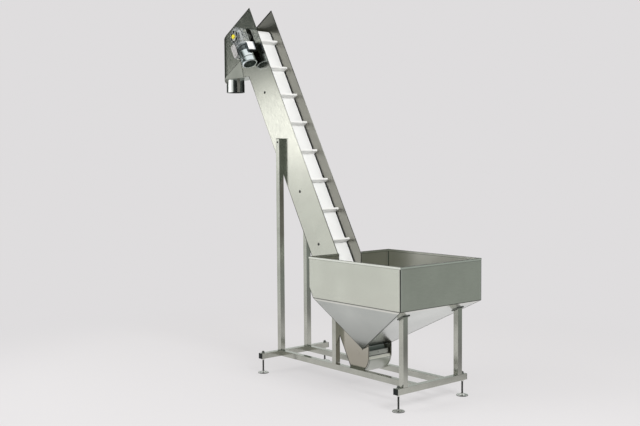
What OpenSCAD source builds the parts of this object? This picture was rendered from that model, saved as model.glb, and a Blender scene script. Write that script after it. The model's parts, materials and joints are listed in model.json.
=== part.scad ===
// Inclined bucket elevator with a floor hopper, a scooped belt and a rear discharge spout.
// Units are millimetres. Z is up, the hopper is at the +X end and the drive is on the -Y side.
// Heights are above the floor. Local X positions are taken from the front face of the front cross tube.

/* [Base frame] */
// Side of the square tube that the frame is welded from
tube_w = 50; // [46:1:54]
// Wall of the square tube
tube_t = 3; // [2:0.5:4]
// Height of the underside of the base tubes above the floor
foot_height = 135; // [125:1:150]
// Length of the base from the front face of the front tube to the rear face of the rear tube
base_len = 1817; // [1790:1:1850]
// Length of the two cross tubes without their end caps
cross_len = 806; // [780:1:830]
// Distance of the middle of each front hopper post from the end of its cross tube
front_post_inset = 84; // [76:1:94]
// Distance of the front face of the rear hopper posts behind the base front
rear_post_back = 985; // [980:1:990]
// Height of the top of the two tall posts without their caps
tall_post_top = 2166; // [2120:1:2200]
// Thickness of the square end caps
cap_t = 5; // [4:0.5:6]

/* [Levelling feet] */
// Diameter of the foot pads
pad_d = 98; // [86:1:104]
// Height of the dished pad
pad_h = 20; // [16:1:24]
// Diameter of the threaded rods
rod_d = 16; // [12:1:18]
// Distance of each rod from the end of its cross tube
rod_inset = 28; // [25:1:32]

/* [Casing] */
// Width over the two side plates
casing_w = 269; // [262:1:276]
// Depth of the side plates at right angles to the belt
casing_depth = 335; // [328:1:342]
// Slope of the casing above the horizontal in degrees
slope = 60.8; // [60:0.1:61.6]
// Distance of the rear edge behind the base front at one metre above the floor
casing_offset = 1305; // [1300:1:1310]
// Length of the side plates above the one metre level along the slope
casing_top = 2608; // [2590:1:2640]
// Thickness of the casing sheet
plate_t = 2.5; // [2:0.5:3]
// Radius of the rounded boot
boot_r = 162; // [160:1:168]
// Distance of the centre of the boot rounding in front of the rear edge
boot_depth = 121; // [118:1:124]
// Distance of the boot centre below the one metre level along the slope
boot_drop = 864; // [858:1:868]

/* [Hopper] */
// Length over the hopper rim
hop_len = 1094; // [1085:1:1103]
// Width over the hopper rim
hop_wid = 945; // [925:1:965]
// Height of the rim
rim_z = 1153; // [1140:1:1180]
// Height of the vertical walls
wall_h = 349; // [335:1:360]
// Height of the sloping walls, from the fold to the tip
slope_drop = 449; // [440:1:458]
// Distance of the hopper front ahead of the base front
hop_over = 97; // [90:1:104]
// Thickness of the hopper sheet
sheet_t = 2; // [1.5:0.5:3]
// Height of the folded hem along the rim
hem_h = 18; // [14:1:24]

/* [Belt and scoops] */
// Height of the carrying face of the belt above the rear edge of the casing
belt_height = 218; // [214:1:220]
// Thickness of the belt
belt_t = 4; // [3:0.5:5]
// Width of the belt and its scoops
belt_w = 243; // [236:1:246]
// Radius of the belt face over both drums
wrap_r = 78; // [74:1:79]
// Distance of the head drum above the one metre level along the slope
head_rise = 2394; // [2380:1:2405]
// Height of a scoop at right angles to the belt
scoop_h = 58; // [52:1:59]
// Length of the lip at the tip of a scoop
lip_len = 18; // [14:1:22]
// Thickness of a scoop
scoop_t = 5; // [4:0.5:6]
// Diameter of the head shaft
shaft_d = 35; // [30:1:40]
// Diameter of the boot axle
axle_d = 30; // [25:1:35]

/* [Discharge head] */
// Distance of the centre of the rounded rear wall behind the base front
chute_back = 2675; // [2665:1:2685]
// Level along the slope at which the chute starts to narrow
crease_s = 2253; // [2245:1:2260]
// Height of the floor of the chute above the floor
chute_z = 2783; // [2775:1:2790]
// Outside diameter of the round spout
spout_d = 183; // [170:1:195]
// Height of the lower end of the spout
spout_bottom = 2655; // [2640:1:2658]
// Length of the collar round the lower end of the spout
collar_len = 80; // [70:1:82]

/* [Drive] */
// Diameter of the output hub of the gear unit
hub_d = 130; // [120:1:134]
// Width of the gear unit along the shaft
gear_w = 104; // [96:1:112]
// Length of the gear housing above the shaft
gear_up = 90; // [82:1:96]
// Length of the gear housing below the shaft
gear_down = 112; // [104:1:118]
// Diameter over the fins of the motor
motor_d = 138; // [130:1:142]
// Length of the motor without its fan cover
motor_len = 150; // [140:1:160]
// Diameter of the fan cover
fan_d = 150; // [144:1:154]
// Length of the fan cover
fan_len = 52; // [46:1:58]
// Gap between the fan cover and the side plate
drive_gap = 8; // [6:1:14]

/* [Hidden] */
// Level from which distances along the slope are taken
level_z = 1000;
// Number of facets round a circle
fine = 96;
// Half of the casing width, outside and inside
cas_h = casing_w / 2;
cas_in = cas_h - plate_t;
// Frame positions
rail_y = cas_h + tube_w / 2;
base_z1 = foot_height + tube_w;
front_x = -tube_w / 2;
rear_x = -base_len + tube_w / 2;
front_post_y = cross_len / 2 - front_post_inset;
rear_face_x = -base_len + tube_w;
post_x = -rear_post_back - tube_w / 2;
// Slope helpers
sn = sin(slope);
cs = cos(slope);
function px(n, s) = -casing_offset + n * sn - s * cs;
function pz(n, s) = level_z + n * cs + s * sn;
// Level along the slope at which the line n reaches a given x or a given z
function s_at_x(n, x) = (-casing_offset + n * sn - x) / cs;
function s_at_z(n, z) = (z - level_z - n * cs) / sn;
// Hopper positions
hop_x1 = hop_over;
hop_x0 = hop_over - hop_len;
hop_y = hop_wid / 2;
hem_t = 1.5;
wall_x1 = hop_x1 - hem_t;
wall_x0 = hop_x0 + hem_t;
wall_y = hop_y - hem_t;
fold_z = rim_z - wall_h;
// The rear slope lies in the plane of the belt face
back_z = pz(belt_height, s_at_x(belt_height, wall_x0));
fold_x = px(belt_height, s_at_z(belt_height, fold_z));
// Tip at which the side slope, the rear slope and the side plate meet
tip_z = fold_z - slope_drop;
tip_x = px(belt_height, s_at_z(belt_height, tip_z));
side_angle = atan2(fold_z - tip_z, wall_y - cas_h);
side_run = sqrt(pow(fold_z - tip_z, 2) + pow(wall_y - cas_h, 2));
front_angle = atan2(fold_z - tip_z, wall_x1 - tip_x);
front_run = sqrt(pow(fold_z - tip_z, 2) + pow(wall_x1 - tip_x, 2));
function front_slope_z(x) = tip_z + (x - tip_x) * tan(front_angle);
// Boot positions
boot_x = px(boot_depth, -boot_drop);
boot_z = pz(boot_depth, -boot_drop);
nose_x = boot_x + boot_r;
nose_top = front_slope_z(nose_x);
// Belt positions
drum_height = belt_height - wrap_r;
drum_r = wrap_r - belt_t;
span = head_rise + boot_drop;
loop_len = 2 * span + 2 * PI * wrap_r;
scoop_count = 23;
pitch = loop_len / scoop_count;
first_s = 139;
run_clear = 8;
slope_end_rise = 12;
// The lower end of the front slope stays clear of the scoops
slope_end_x = px(belt_height + scoop_h, -boot_drop + slope_end_rise) + run_clear;
drum_len = belt_w - run_clear;
tie_height = 138;
tie_s = [171, 704, 1237, 1769];
tie_d = 24;
bed_w = 226;
bed_t = 2.5;
bed_inset = 120;
bed_s0 = -boot_drop + bed_inset;
bed_s1 = head_rise - bed_inset;
// Head positions
spout_r = spout_d / 2;
chute_x = -chute_back;
back_x = chute_x - cas_h;
spout_x = back_x + spout_r;
// Place at which the sloping rear floor meets the level floor
kink_x = px(0, crease_s) - (pz(0, crease_s) - chute_z) * sn / cs;
hood_depth = 50;
hood_drop = 3;
cheek_depth = -45;
flat_end_x = px(cheek_depth, crease_s);
flat_run = 88;
cover_x = px(0, s_at_z(0, chute_z)) - flat_run;
neck_step = 1.5;
neck_r = spout_r - neck_step;
thin = 0.5;
far = 4000;
trim = 40;
// Whole length, used to put the origin in the middle of the floor outline
x_min = back_x;
x_mid = (hop_x1 + x_min) / 2;
// Drive positions
motor_lift = 30;
flange_t = 14;
motor_height = drum_height + motor_lift;
motor_s1 = head_rise - gear_down - flange_t;
motor_y = -cas_h - drive_gap - fan_d / 2;
gear_y1 = motor_y + gear_w / 2;
gear_y0 = gear_y1 - gear_w;

module place() translate([-x_mid, 0, 0]) children();
module mirror_y() { children(); mirror([0, 1, 0]) children(); }
// Frame of the casing: x is the distance above the rear edge, z is the distance up the slope
module on_slope() translate([-casing_offset, 0, level_z]) rotate([0, slope - 90, 0]) children();
// Sheet in the x-z plane that spans from y0 to y0 + t
module xz_sheet(y0, t) translate([0, y0 + t, 0]) rotate([90, 0, 0]) linear_extrude(t) children();

module box_at(x0, x1, y0, y1, z0, z1) translate([x0, y0, z0]) cube([x1 - x0, y1 - y0, z1 - z0]);

// Cylinder across the machine, from y0 to y1, at a place on the slope
module cross_cylinder(n, s, y0, y1, d) translate([n, y1, s]) rotate([90, 0, 0])
  cylinder(d = d, h = y1 - y0, $fn = fine);

// Square tube standing on z0, centred on x and y
module post(x, y, z0, z1) {
  difference() {
    box_at(x - tube_w / 2, x + tube_w / 2, y - tube_w / 2, y + tube_w / 2, z0, z1);
    box_at(x - tube_w / 2 + tube_t, x + tube_w / 2 - tube_t, y - tube_w / 2 + tube_t,
      y + tube_w / 2 - tube_t, z0 - 1, z1 + 1);
  }
}

// Everything above the underside of the front slope, lowered by d
module above_front_slope(d) {
  translate([wall_x1, -far / 2, fold_z]) rotate([0, -front_angle, 0])
    translate([-far / 2, 0, -d]) cube([far, far, far]);
}

// Everything in front of the underside of the rear slope, moved back by d
module above_rear_slope(d) on_slope() translate([belt_height - d, -far / 2, -far / 2]) cube([far, far, far]);

module cross_tube(x) {
  difference() {
    box_at(x - tube_w / 2, x + tube_w / 2, -cross_len / 2, cross_len / 2, foot_height, base_z1);
    box_at(x - tube_w / 2 + tube_t, x + tube_w / 2 - tube_t, -cross_len / 2 - 1, cross_len / 2 + 1,
      foot_height + tube_t, base_z1 - tube_t);
    mirror_y() translate([x, cross_len / 2 - rod_inset, foot_height - 1]) cylinder(d = rod_d, h = tube_w + 2);
  }
}

module front_cross_tube() place() color("silver") cross_tube(front_x);

module rear_cross_tube() place() color("silver") cross_tube(rear_x);

module side_rails() place() color("silver") mirror_y() {
  difference() {
    box_at(rear_face_x, -tube_w, rail_y - tube_w / 2, rail_y + tube_w / 2, foot_height, base_z1);
    box_at(rear_face_x - 1, -tube_w + 1, rail_y - tube_w / 2 + tube_t, rail_y + tube_w / 2 - tube_t,
      foot_height + tube_t, base_z1 - tube_t);
  }
}

module tall_posts() place() color("silver") mirror_y() post(rear_x, rail_y, base_z1, tall_post_top);

saddle_t = 6;
module front_hopper_posts() place() color("silver") mirror_y() {
  difference() {
    post(front_x, front_post_y, base_z1, fold_z);
    above_front_slope(saddle_t);
  }
}

module rear_hopper_posts() place() color("silver") mirror_y() {
  difference() {
    post(post_x, rail_y, base_z1, rim_z);
    above_rear_slope(saddle_t);
  }
}

saddle_w = 84;
saddle_l = 70;
rear_saddle_l = 110;
saddle_over = 12;
saddle_shift = 2;
module saddle_plates() place() color("silver") mirror_y() {
  translate([front_x, front_post_y - saddle_w / 2 - saddle_shift, front_slope_z(front_x)])
    rotate([0, -front_angle, 0]) translate([-saddle_l / 2, 0, -saddle_t]) cube([saddle_l, saddle_w, saddle_t]);
  on_slope() translate([belt_height - saddle_t, cas_h, s_at_z(belt_height, back_z) - rear_saddle_l])
    cube([saddle_t, tube_w + saddle_over, rear_saddle_l]);
}

plug_l = 14;
module cap() {
  bore_w = tube_w - 2 * tube_t;
  cube([tube_w, cap_t, tube_w]);
  translate([tube_t, -plug_l, tube_t]) cube([bore_w, plug_l + cap_t / 2, bore_w]);
}

module tube_caps() place() color("black") {
  mirror_y() {
    translate([front_x - tube_w / 2, cross_len / 2, foot_height]) cap();
    translate([rear_x - tube_w / 2, cross_len / 2, foot_height]) cap();
    translate([rear_x - tube_w / 2, rail_y + tube_w / 2, tall_post_top]) rotate([90, 0, 0]) cap();
  }
}

// Foot positions
foot_xs = [front_x, rear_x];
foot_y = cross_len / 2 - rod_inset;
pad_rim = 6;
pad_edge = 2;
dish_rise = 4;
collar_w = 6;
module foot_pads() place() color("silver") mirror_y() for (x = foot_xs) {
  translate([x, foot_y, 0]) rotate_extrude($fn = fine) polygon([
    [0, 0], [pad_d / 2 - pad_edge, 0], [pad_d / 2, pad_edge], [pad_d / 2, pad_rim],
    [pad_d / 4, pad_rim + dish_rise], [rod_d / 2 + collar_w, pad_h - dish_rise],
    [rod_d / 2 + collar_w, pad_h], [0, pad_h]]);
}

nut_h = 13;
nut_d = rod_d * 1.7;
dome_h = 8;
dome_foot = 0.86;
dome_tip = 0.4;
hex = 6;
module foot_rods() place() color("dimgray") mirror_y() for (x = foot_xs) {
  translate([x, foot_y, pad_h]) cylinder(d = rod_d, h = base_z1 + 1 - pad_h);
}

module foot_nuts() place() color("silver") mirror_y() for (x = foot_xs) {
  translate([x, foot_y, foot_height - nut_h]) difference() {
    cylinder(d = nut_d, h = nut_h, $fn = hex);
    translate([0, 0, -1]) cylinder(d = rod_d, h = nut_h + 2);
  }
  translate([x, foot_y, base_z1]) difference() {
    union() {
      cylinder(d = nut_d, h = nut_h, $fn = hex);
      translate([0, 0, nut_h]) cylinder(d1 = nut_d * dome_foot, d2 = nut_d * dome_tip, h = dome_h, $fn = fine);
    }
    translate([0, 0, -1]) cylinder(d = rod_d, h = 2);
  }
}

// Lap by which the sloping walls run past their fold before they are trimmed
lap = 4;
// Side walls of the hopper with a hem outside along the rim
module side_wall_profile() polygon([[wall_x0, rim_z], [wall_x1, rim_z], [wall_x1, fold_z],
  [fold_x, fold_z], [wall_x0, back_z]]);

module hopper_side() {
  xz_sheet(-wall_y, sheet_t) side_wall_profile();
  box_at(hop_x0, hop_x1, -hop_y, -wall_y, rim_z - hem_h, rim_z);
}

module hopper_near_wall() place() color("gainsboro") hopper_side();

module hopper_far_wall() place() color("gainsboro") mirror([0, 1, 0]) hopper_side();

module hopper_front_wall() place() color("gainsboro") {
  box_at(wall_x1 - sheet_t, wall_x1, -wall_y + sheet_t, wall_y - sheet_t, fold_z, rim_z);
  box_at(wall_x1, hop_x1, -wall_y, wall_y, rim_z - hem_h, rim_z);
}

module hopper_rear_wall() place() color("gainsboro") mirror_y() {
  box_at(wall_x0, wall_x0 + sheet_t, cas_in, wall_y - sheet_t, back_z, rim_z);
  box_at(hop_x0, wall_x0, cas_h, wall_y, rim_z - hem_h, rim_z);
}

// Half-space outside the inner face of the near side slope
module side_half() {
  translate([0, -wall_y, fold_z]) rotate([-side_angle, 0, 0])
    translate([-far / 2, -far / 2, -far]) cube([far, far, far + sheet_t]);
}

module hopper_side_slope() {
  difference() {
    translate([0, -wall_y, fold_z]) rotate([-side_angle, 0, 0])
      linear_extrude(sheet_t) polygon([[fold_x, -lap], [wall_x1, -lap], [wall_x1, 0],
        [tip_x, side_run], [fold_x, 0]]);
    box_at(-far, far, -far, far, fold_z, far);
    box_at(-far, far, -cas_h, far, -far, far);
  }
}

module near_slope() place() color("gainsboro") hopper_side_slope();

module far_slope() place() color("gainsboro") mirror([0, 1, 0]) hopper_side_slope();

module front_slope() place() color("gainsboro") {
  difference() {
    translate([wall_x1, 0, fold_z]) rotate([0, -front_angle, 0])
      linear_extrude(sheet_t) polygon([[lap, -wall_y], [lap, wall_y], [0, wall_y], [-front_run, cas_h],
        [-front_run, -cas_h], [0, -wall_y]]);
    box_at(-far, far, -far, far, fold_z, far);
    box_at(wall_x1, far, -far, far, -far, far);
    mirror_y() side_half();
    box_at(-far, slope_end_x, -cas_h, cas_h, -far, far);
  }
}

module rear_slopes() place() color("gainsboro") mirror_y() {
  difference() {
    on_slope() translate([belt_height, -wall_y, s_at_z(belt_height, back_z)]) rotate([0, 90, 0])
      linear_extrude(sheet_t) polygon([[-lap, 0], [-lap, wall_y - cas_h], [0, wall_y - cas_h],
        [(back_z - tip_z) / sn, wall_y - cas_h], [(back_z - fold_z) / sn, 0]]);
    side_half();
    box_at(-far, wall_x0, -far, far, -far, far);
    box_at(-far, far, -far, far, back_z, far);
    box_at(-far, far, -far, -wall_y + sheet_t, fold_z, far);
  }
}

// Everything behind the rear edge of the casing and below the floor of the chute
module behind_rear_edge() polygon([[px(0, -far), pz(0, -far)], [px(0, s_at_z(0, chute_z)), chute_z],
  [px(0, s_at_z(0, chute_z)) - far, chute_z], [px(0, -far) - far, pz(0, -far)]]);

// Side plate of the casing from the boot to the discharge head
module side_plate(y0) difference() {
  union() {
    xz_sheet(y0, plate_t) polygon([
      [px(casing_depth, casing_top), pz(casing_depth, casing_top)],
      [px(casing_depth, s_at_x(casing_depth, wall_x0)), pz(casing_depth, s_at_x(casing_depth, wall_x0))],
      [wall_x0, back_z],
      [tip_x, tip_z],
      [nose_x, nose_top],
      [nose_x, boot_z],
      [boot_x, boot_z - boot_r / 2],
      [px(-trim, -boot_drop), pz(-trim, -boot_drop)],
      [px(-trim, s_at_z(-trim, chute_z)), chute_z],
      [cover_x, chute_z],
      [flat_end_x, pz(cheek_depth, crease_s)],
      [chute_x, pz(0, crease_s) + (chute_x - px(0, crease_s)) * cs / sn],
      [chute_x, pz(0, casing_top) + (chute_x - px(0, casing_top)) * cs / sn]]);
    // Rounded underside of the boot
    intersection() {
      xz_sheet(y0, plate_t) translate([boot_x, boot_z]) circle(r = boot_r, $fn = fine);
      box_at(boot_x - far, boot_x + far, -far, far, boot_z - far, boot_z);
    }
  }
  // Straight rear edge from the boot to the floor of the chute
  xz_sheet(y0 - 1, plate_t + 2) behind_rear_edge();
  on_slope() {
    cross_cylinder(drum_height, -boot_drop, -cas_h - 1, cas_h + 1, axle_d);
    cross_cylinder(drum_height, head_rise, -cas_h - 1, cas_h + 1, shaft_d + 2);
  }
}

module casing_near_plate() place() color("lightgray") side_plate(-cas_h);

module casing_far_plate() place() color("lightgray") side_plate(cas_in);

cover_gap = 14;
// Closed rear of the casing between the boot and the chute
module casing_back_cover() place() color("lightgray") {
  s0 = -boot_drop - sqrt(boot_r * boot_r - boot_depth * boot_depth) + cover_gap;
  s1 = s_at_z(0, chute_z);
  on_slope() translate([0, -cas_in, s0]) cube([plate_t, 2 * cas_in, s1 - s0]);
}

// Sliding bed under the carrying run, with its flanges turned down
module slider_bed() place() color("silver") on_slope() difference() {
  union() {
    translate([belt_height - belt_t - bed_t, -bed_w / 2, bed_s0]) cube([bed_t, bed_w, bed_s1 - bed_s0]);
    mirror_y() translate([tie_height - tie_d, bed_w / 2 - bed_t, bed_s0])
      cube([belt_height - belt_t - tie_height + tie_d, bed_t, bed_s1 - bed_s0]);
  }
  for (s = tie_s) translate([tie_height, bed_w, s]) rotate([90, 0, 0]) cylinder(d = tie_d, h = 2 * bed_w);
}

module tie_bars() place() color("silver") on_slope() {
  for (s = tie_s) translate([tie_height, cas_in, s]) rotate([90, 0, 0]) cylinder(d = tie_d, h = 2 * cas_in);
}

// Endless belt round both drums
module belt_profile(r) {
  translate([drum_height, -boot_drop]) circle(r = r, $fn = fine);
  translate([drum_height, head_rise]) circle(r = r, $fn = fine);
  translate([drum_height - r, -boot_drop]) square([2 * r, span]);
}

module belt() place() color("white") on_slope() {
  translate([0, belt_w / 2, 0]) rotate([90, 0, 0]) linear_extrude(belt_w) difference() {
    belt_profile(wrap_r);
    belt_profile(drum_r);
  }
}

// One scoop standing on the plane x = 0 and opening towards +z, its foot going root below that plane
module scoop(root = 0) {
  translate([0, -belt_w / 2, 0]) {
    translate([-root, 0, 0]) cube([scoop_h + root, belt_w, scoop_t]);
    translate([scoop_h - scoop_t, 0, 0]) cube([scoop_t, belt_w, lip_len]);
  }
}

// Scoop round a drum, its root hollowed to the belt face
module wrapped_scoop(a) {
  rotate([0, -a, 0]) difference() {
    translate([wrap_r, 0, 0]) scoop(1);
    translate([0, belt_w, 0]) rotate([90, 0, 0]) cylinder(r = wrap_r, h = 2 * belt_w, $fn = fine);
  }
}

// Distances of the scoops along the loop, from the start of the carrying run at the boot
function along(i) = (first_s + boot_drop + i * pitch) % loop_len;
arc = PI * wrap_r;

module scoops_carrying() place() color("white") on_slope() {
  for (i = [0 : scoop_count - 1]) if (along(i) < span)
    translate([belt_height, 0, along(i) - boot_drop]) scoop();
}

module scoops_on_drums() place() color("white") on_slope() {
  for (i = [0 : scoop_count - 1]) if (along(i) >= span && along(i) < span + arc)
    translate([drum_height, 0, head_rise]) wrapped_scoop((along(i) - span) / wrap_r * 180 / PI);
  for (i = [0 : scoop_count - 1]) if (along(i) >= 2 * span + arc)
    translate([drum_height, 0, -boot_drop])
      wrapped_scoop(180 + (along(i) - 2 * span - arc) / wrap_r * 180 / PI);
}

module scoops_return() place() color("white") on_slope() {
  for (i = [0 : scoop_count - 1]) if (along(i) >= span + arc && along(i) < 2 * span + arc)
    translate([drum_height - wrap_r, 0, head_rise - (along(i) - span - arc)]) rotate([0, 180, 0]) scoop();
}

// Hollow drum with two end discs
drum_wall = 4;
disc_t = 6;
module drum(bore) {
  rotate([90, 0, 0]) translate([0, 0, -drum_len / 2]) difference() {
    cylinder(r = drum_r, h = drum_len, $fn = fine);
    translate([0, 0, disc_t]) cylinder(r = drum_r - drum_wall, h = drum_len - 2 * disc_t, $fn = fine);
    translate([0, 0, -1]) cylinder(d = bore, h = drum_len + 2, $fn = fine);
  }
}

module head_drum() place() color("silver") on_slope() translate([drum_height, 0, head_rise]) drum(shaft_d);

module boot_drum() place() color("silver") on_slope() translate([drum_height, 0, -boot_drop]) drum(axle_d);

bearing_t = 34;
module drum_shafts() place() color("silver") on_slope() {
  translate([drum_height, cas_h + bearing_t, head_rise]) rotate([90, 0, 0])
    cylinder(d = shaft_d, h = cas_h + bearing_t - gear_y0, $fn = fine);
  translate([drum_height, cas_h, -boot_drop]) rotate([90, 0, 0]) cylinder(d = axle_d, h = casing_w, $fn = fine);
}

// Square flange bearing on the far plate
flange_w = 112;
bearing_flange_t = 13;
bearing_d = 84;
bearing_rim = 3;
bearing_bolt = 43;
bearing_hole = 12;
module head_bearing() place() color("gray") on_slope()
  translate([drum_height, cas_h, head_rise]) rotate([-90, 0, 0]) difference() {
    union() {
      translate([-flange_w / 2, -flange_w / 2, 0]) cube([flange_w, flange_w, bearing_flange_t]);
      cylinder(d = bearing_d, h = bearing_t - bearing_rim, $fn = fine);
    }
    translate([0, 0, -1]) cylinder(d = shaft_d, h = bearing_t + 2, $fn = fine);
    for (x = [-1, 1], y = [-1, 1]) translate([x * bearing_bolt, y * bearing_bolt, -1])
      cylinder(d = bearing_hole, h = bearing_flange_t + 2);
  }

// Round sheet under the boot between the side plates, its top edge folded back as a lip
lip_low = 35;
lip_rise = 30;
lip_back = 22;
lip_x = boot_x + sqrt(boot_r * boot_r - lip_low * lip_low);
lip_z = boot_z - lip_low;
module boot_nose() place() color("lightgray") difference() {
  union() {
    difference() {
      xz_sheet(-cas_in, 2 * cas_in) translate([boot_x, boot_z]) circle(r = boot_r, $fn = fine);
      xz_sheet(-cas_h, casing_w) translate([boot_x, boot_z]) circle(r = boot_r - plate_t, $fn = fine);
      box_at(boot_x - far, boot_x + far, -far, far, lip_z, far);
    }
    xz_sheet(-cas_in, 2 * cas_in) polygon([
      [lip_x, lip_z - 1], [lip_x, lip_z], [lip_x - lip_back, lip_z + lip_rise],
      [lip_x - lip_back - plate_t, lip_z + lip_rise], [lip_x - plate_t, lip_z], [lip_x - plate_t, lip_z - 1]]);
  }
  xz_sheet(-cas_h, casing_w) behind_rear_edge();
}

// Clean-out strip across the front of the boot, standing on the lip
strip_h = 45;
strip_t = 6;
strip_inset = 12;
module cleanout_strip() place() color("silver")
  box_at(lip_x - lip_back - strip_t, lip_x - lip_back, -cas_in + strip_inset, cas_in - strip_inset,
    lip_z + lip_rise, lip_z + lip_rise + strip_h);

// Plan outline of the head: a half round with straight sides
module head_plan(inset) {
  translate([chute_x, 0]) circle(r = cas_h - inset, $fn = fine);
  translate([chute_x, -cas_h + inset]) square([far, 2 * cas_h - 2 * inset]);
}

// Slab across the casing between two levels along the slope
module slope_slab(s0, s1) on_slope() translate([-far / 2, -far / 2, s0]) cube([far, far, s1 - s0]);

// Depth below the floor of the chute from which the upright head walls are cut
head_depth = 300;
module head_rear_wall() place() color("lightgray") intersection() {
  translate([0, 0, chute_z - head_depth]) linear_extrude(far) difference() {
    translate([chute_x, 0]) circle(r = cas_h, $fn = fine);
    translate([chute_x, 0]) circle(r = cas_in, $fn = fine);
    translate([chute_x, -far / 2]) square([far, far]);
  }
  slope_slab(crease_s, casing_top);
}

module head_hood() place() color("lightgray") intersection() {
  translate([0, 0, chute_z - head_depth]) linear_extrude(far) head_plan(plate_t);
  on_slope() translate([-far, -far / 2, casing_top - hood_drop - plate_t])
    cube([far + hood_depth, far, plate_t]);
}

// Narrowing part of the chute in front of x = kink_x, from the head outline down to its floor
module chute_solid(inset, lift, extra) hull() {
  intersection() {
    translate([0, 0, chute_z - head_depth]) linear_extrude(far) intersection() {
      head_plan(inset);
      translate([kink_x, -far / 2]) square([flat_end_x + extra - kink_x, far]);
    }
    slope_slab(crease_s - thin, crease_s + lift);
  }
  translate([0, 0, chute_z + inset]) linear_extrude(thin) intersection() {
    union() {
      translate([spout_x, 0]) circle(r = neck_r - inset, $fn = fine);
      translate([spout_x, -neck_r + inset]) square([cover_x + extra - spout_x, 2 * (neck_r - inset)]);
    }
    translate([kink_x, -far / 2]) square([far, far]);
  }
}

// Reach of the cuts that open the chute upwards
open_up = 8;
module spout_bore() translate([spout_x, 0, spout_bottom - 1])
  cylinder(r = neck_r - plate_t, h = chute_z - spout_bottom + head_depth, $fn = fine);

module chute_transition() place() color("lightgray") difference() {
  chute_solid(0, 0, 0);
  chute_solid(plate_t, open_up, open_up);
  spout_bore();
  slope_slab(crease_s, far);
}

// Sloping floor behind the spout, inside the rounded rear wall
module chute_rear_floor() place() color("lightgray") difference() {
  intersection() {
    translate([0, 0, chute_z - head_depth]) linear_extrude(far) intersection() {
      head_plan(plate_t);
      translate([-far, -far / 2]) square([far + kink_x, far]);
    }
    slope_slab(crease_s, crease_s + plate_t);
  }
  spout_bore();
}

// Floor of the chute in front of the narrowing part, with its two cheeks
module chute_floor() place() color("lightgray") difference() {
  xz_sheet(-cas_in, 2 * cas_in) polygon([
    [flat_end_x, pz(cheek_depth, crease_s)], [cover_x, chute_z],
    [px(0, s_at_z(0, chute_z)), chute_z],
    [px(0, s_at_z(0, chute_z)) - plate_t, chute_z + plate_t],
    [cover_x + plate_t, chute_z + plate_t],
    [flat_end_x + plate_t, pz(cheek_depth, crease_s)]]);
  chute_solid(0, open_up, open_up);
}

// Round spout: a neck under the chute with a collar round its lower end
module discharge_spout() place() color("lightgray") difference() {
  translate([spout_x, 0, spout_bottom]) union() {
    cylinder(r = spout_r, h = collar_len, $fn = fine);
    cylinder(r = neck_r, h = chute_z - spout_bottom, $fn = fine);
  }
  spout_bore();
  slope_slab(crease_s, far);
}

// Block on the slope between two levels, two depths and two sides
module slope_block(n0, n1, y0, y1, s0, s1) translate([n0, y0, s0]) cube([n1 - n0, y1 - y0, s1 - s0]);

// Gear unit on the head shaft, its housing along the slope
spigot_d = 96;
gear_back = 60;
gear_front = 76;
hub_proud = 16;
gear_rib = 6;
foot_back = 104;
foot_clear = 5;
foot_len = 128;
foot_lap = 50;
module gear_housing() {
  top_r = (gear_back + gear_front) / 2;
  top_n = drum_height + (gear_front - gear_back) / 2;
  face_y = gear_y0 + hub_proud;
  cross_cylinder(top_n, head_rise + gear_up - top_r, face_y, gear_y1, 2 * top_r);
  slope_block(drum_height - gear_back, drum_height + gear_front, face_y, gear_y1,
    head_rise - gear_down, head_rise + gear_up - top_r);
  // Output hub, its spigot and the ribs beside it
  cross_cylinder(drum_height, head_rise, gear_y0, gear_y1, hub_d);
  cross_cylinder(drum_height, head_rise, gear_y1 - 1, -cas_h, spigot_d);
  for (n = [drum_height - gear_back, drum_height + gear_front - gear_rib])
    slope_block(n, n + gear_rib, face_y - gear_rib, face_y + 1, head_rise - gear_down, head_rise);
  // Foot block on the rear side of the housing
  slope_block(drum_height - foot_back, motor_height - motor_d / 2 - foot_clear,
    gear_y0 + gear_rib, gear_y1 - hub_proud, head_rise - foot_lap - foot_len, head_rise - foot_lap);
}

module gear_unit() place() color("darkgray") on_slope() difference() {
  union() {
    gear_housing();
    // Flange that carries the motor
    translate([motor_height, motor_y, motor_s1]) cylinder(d = motor_d, h = flange_t + 1, $fn = fine);
  }
  cross_cylinder(drum_height, head_rise, gear_y0 - 1, 0, shaft_d);
}

cover_d = 74;
cover_base = 7;
cover_dome = 11;
cover_step = 4;
module shaft_cover() place() color("gold") on_slope() translate([drum_height, gear_y0, head_rise])
  rotate([90, 0, 0]) rotate_extrude($fn = fine) polygon([[0, 0], [cover_d / 2, 0], [cover_d / 2, cover_base],
    [cover_d / 2 - cover_step, cover_base], [cover_d / 2 - 2 * cover_step, cover_base + cover_dome],
    [0, cover_base + cover_dome]]);

// Motor with cooling fins between two end shields, the lower one carrying the fan cover
fin_count = 24;
fin_gap = 8;
fin_depth = 9;
shield_l = 14;
shield_step = 3;
module drive_motor() place() color("lightgray") on_slope()
  translate([motor_height, motor_y, motor_s1 - motor_len]) difference() {
    union() {
      cylinder(d = motor_d, h = motor_len, $fn = fine);
      cylinder(d = fan_d, h = shield_l, $fn = fine);
    }
    for (k = [0 : fin_count - 1]) rotate([0, 0, (k + 0.5) * 360 / fin_count])
      translate([motor_d / 2 - fin_depth, -fin_gap / 2, shield_l + shield_step])
        cube([2 * fin_depth, fin_gap, motor_len - 2 * shield_l - shield_step]);
  }

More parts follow.
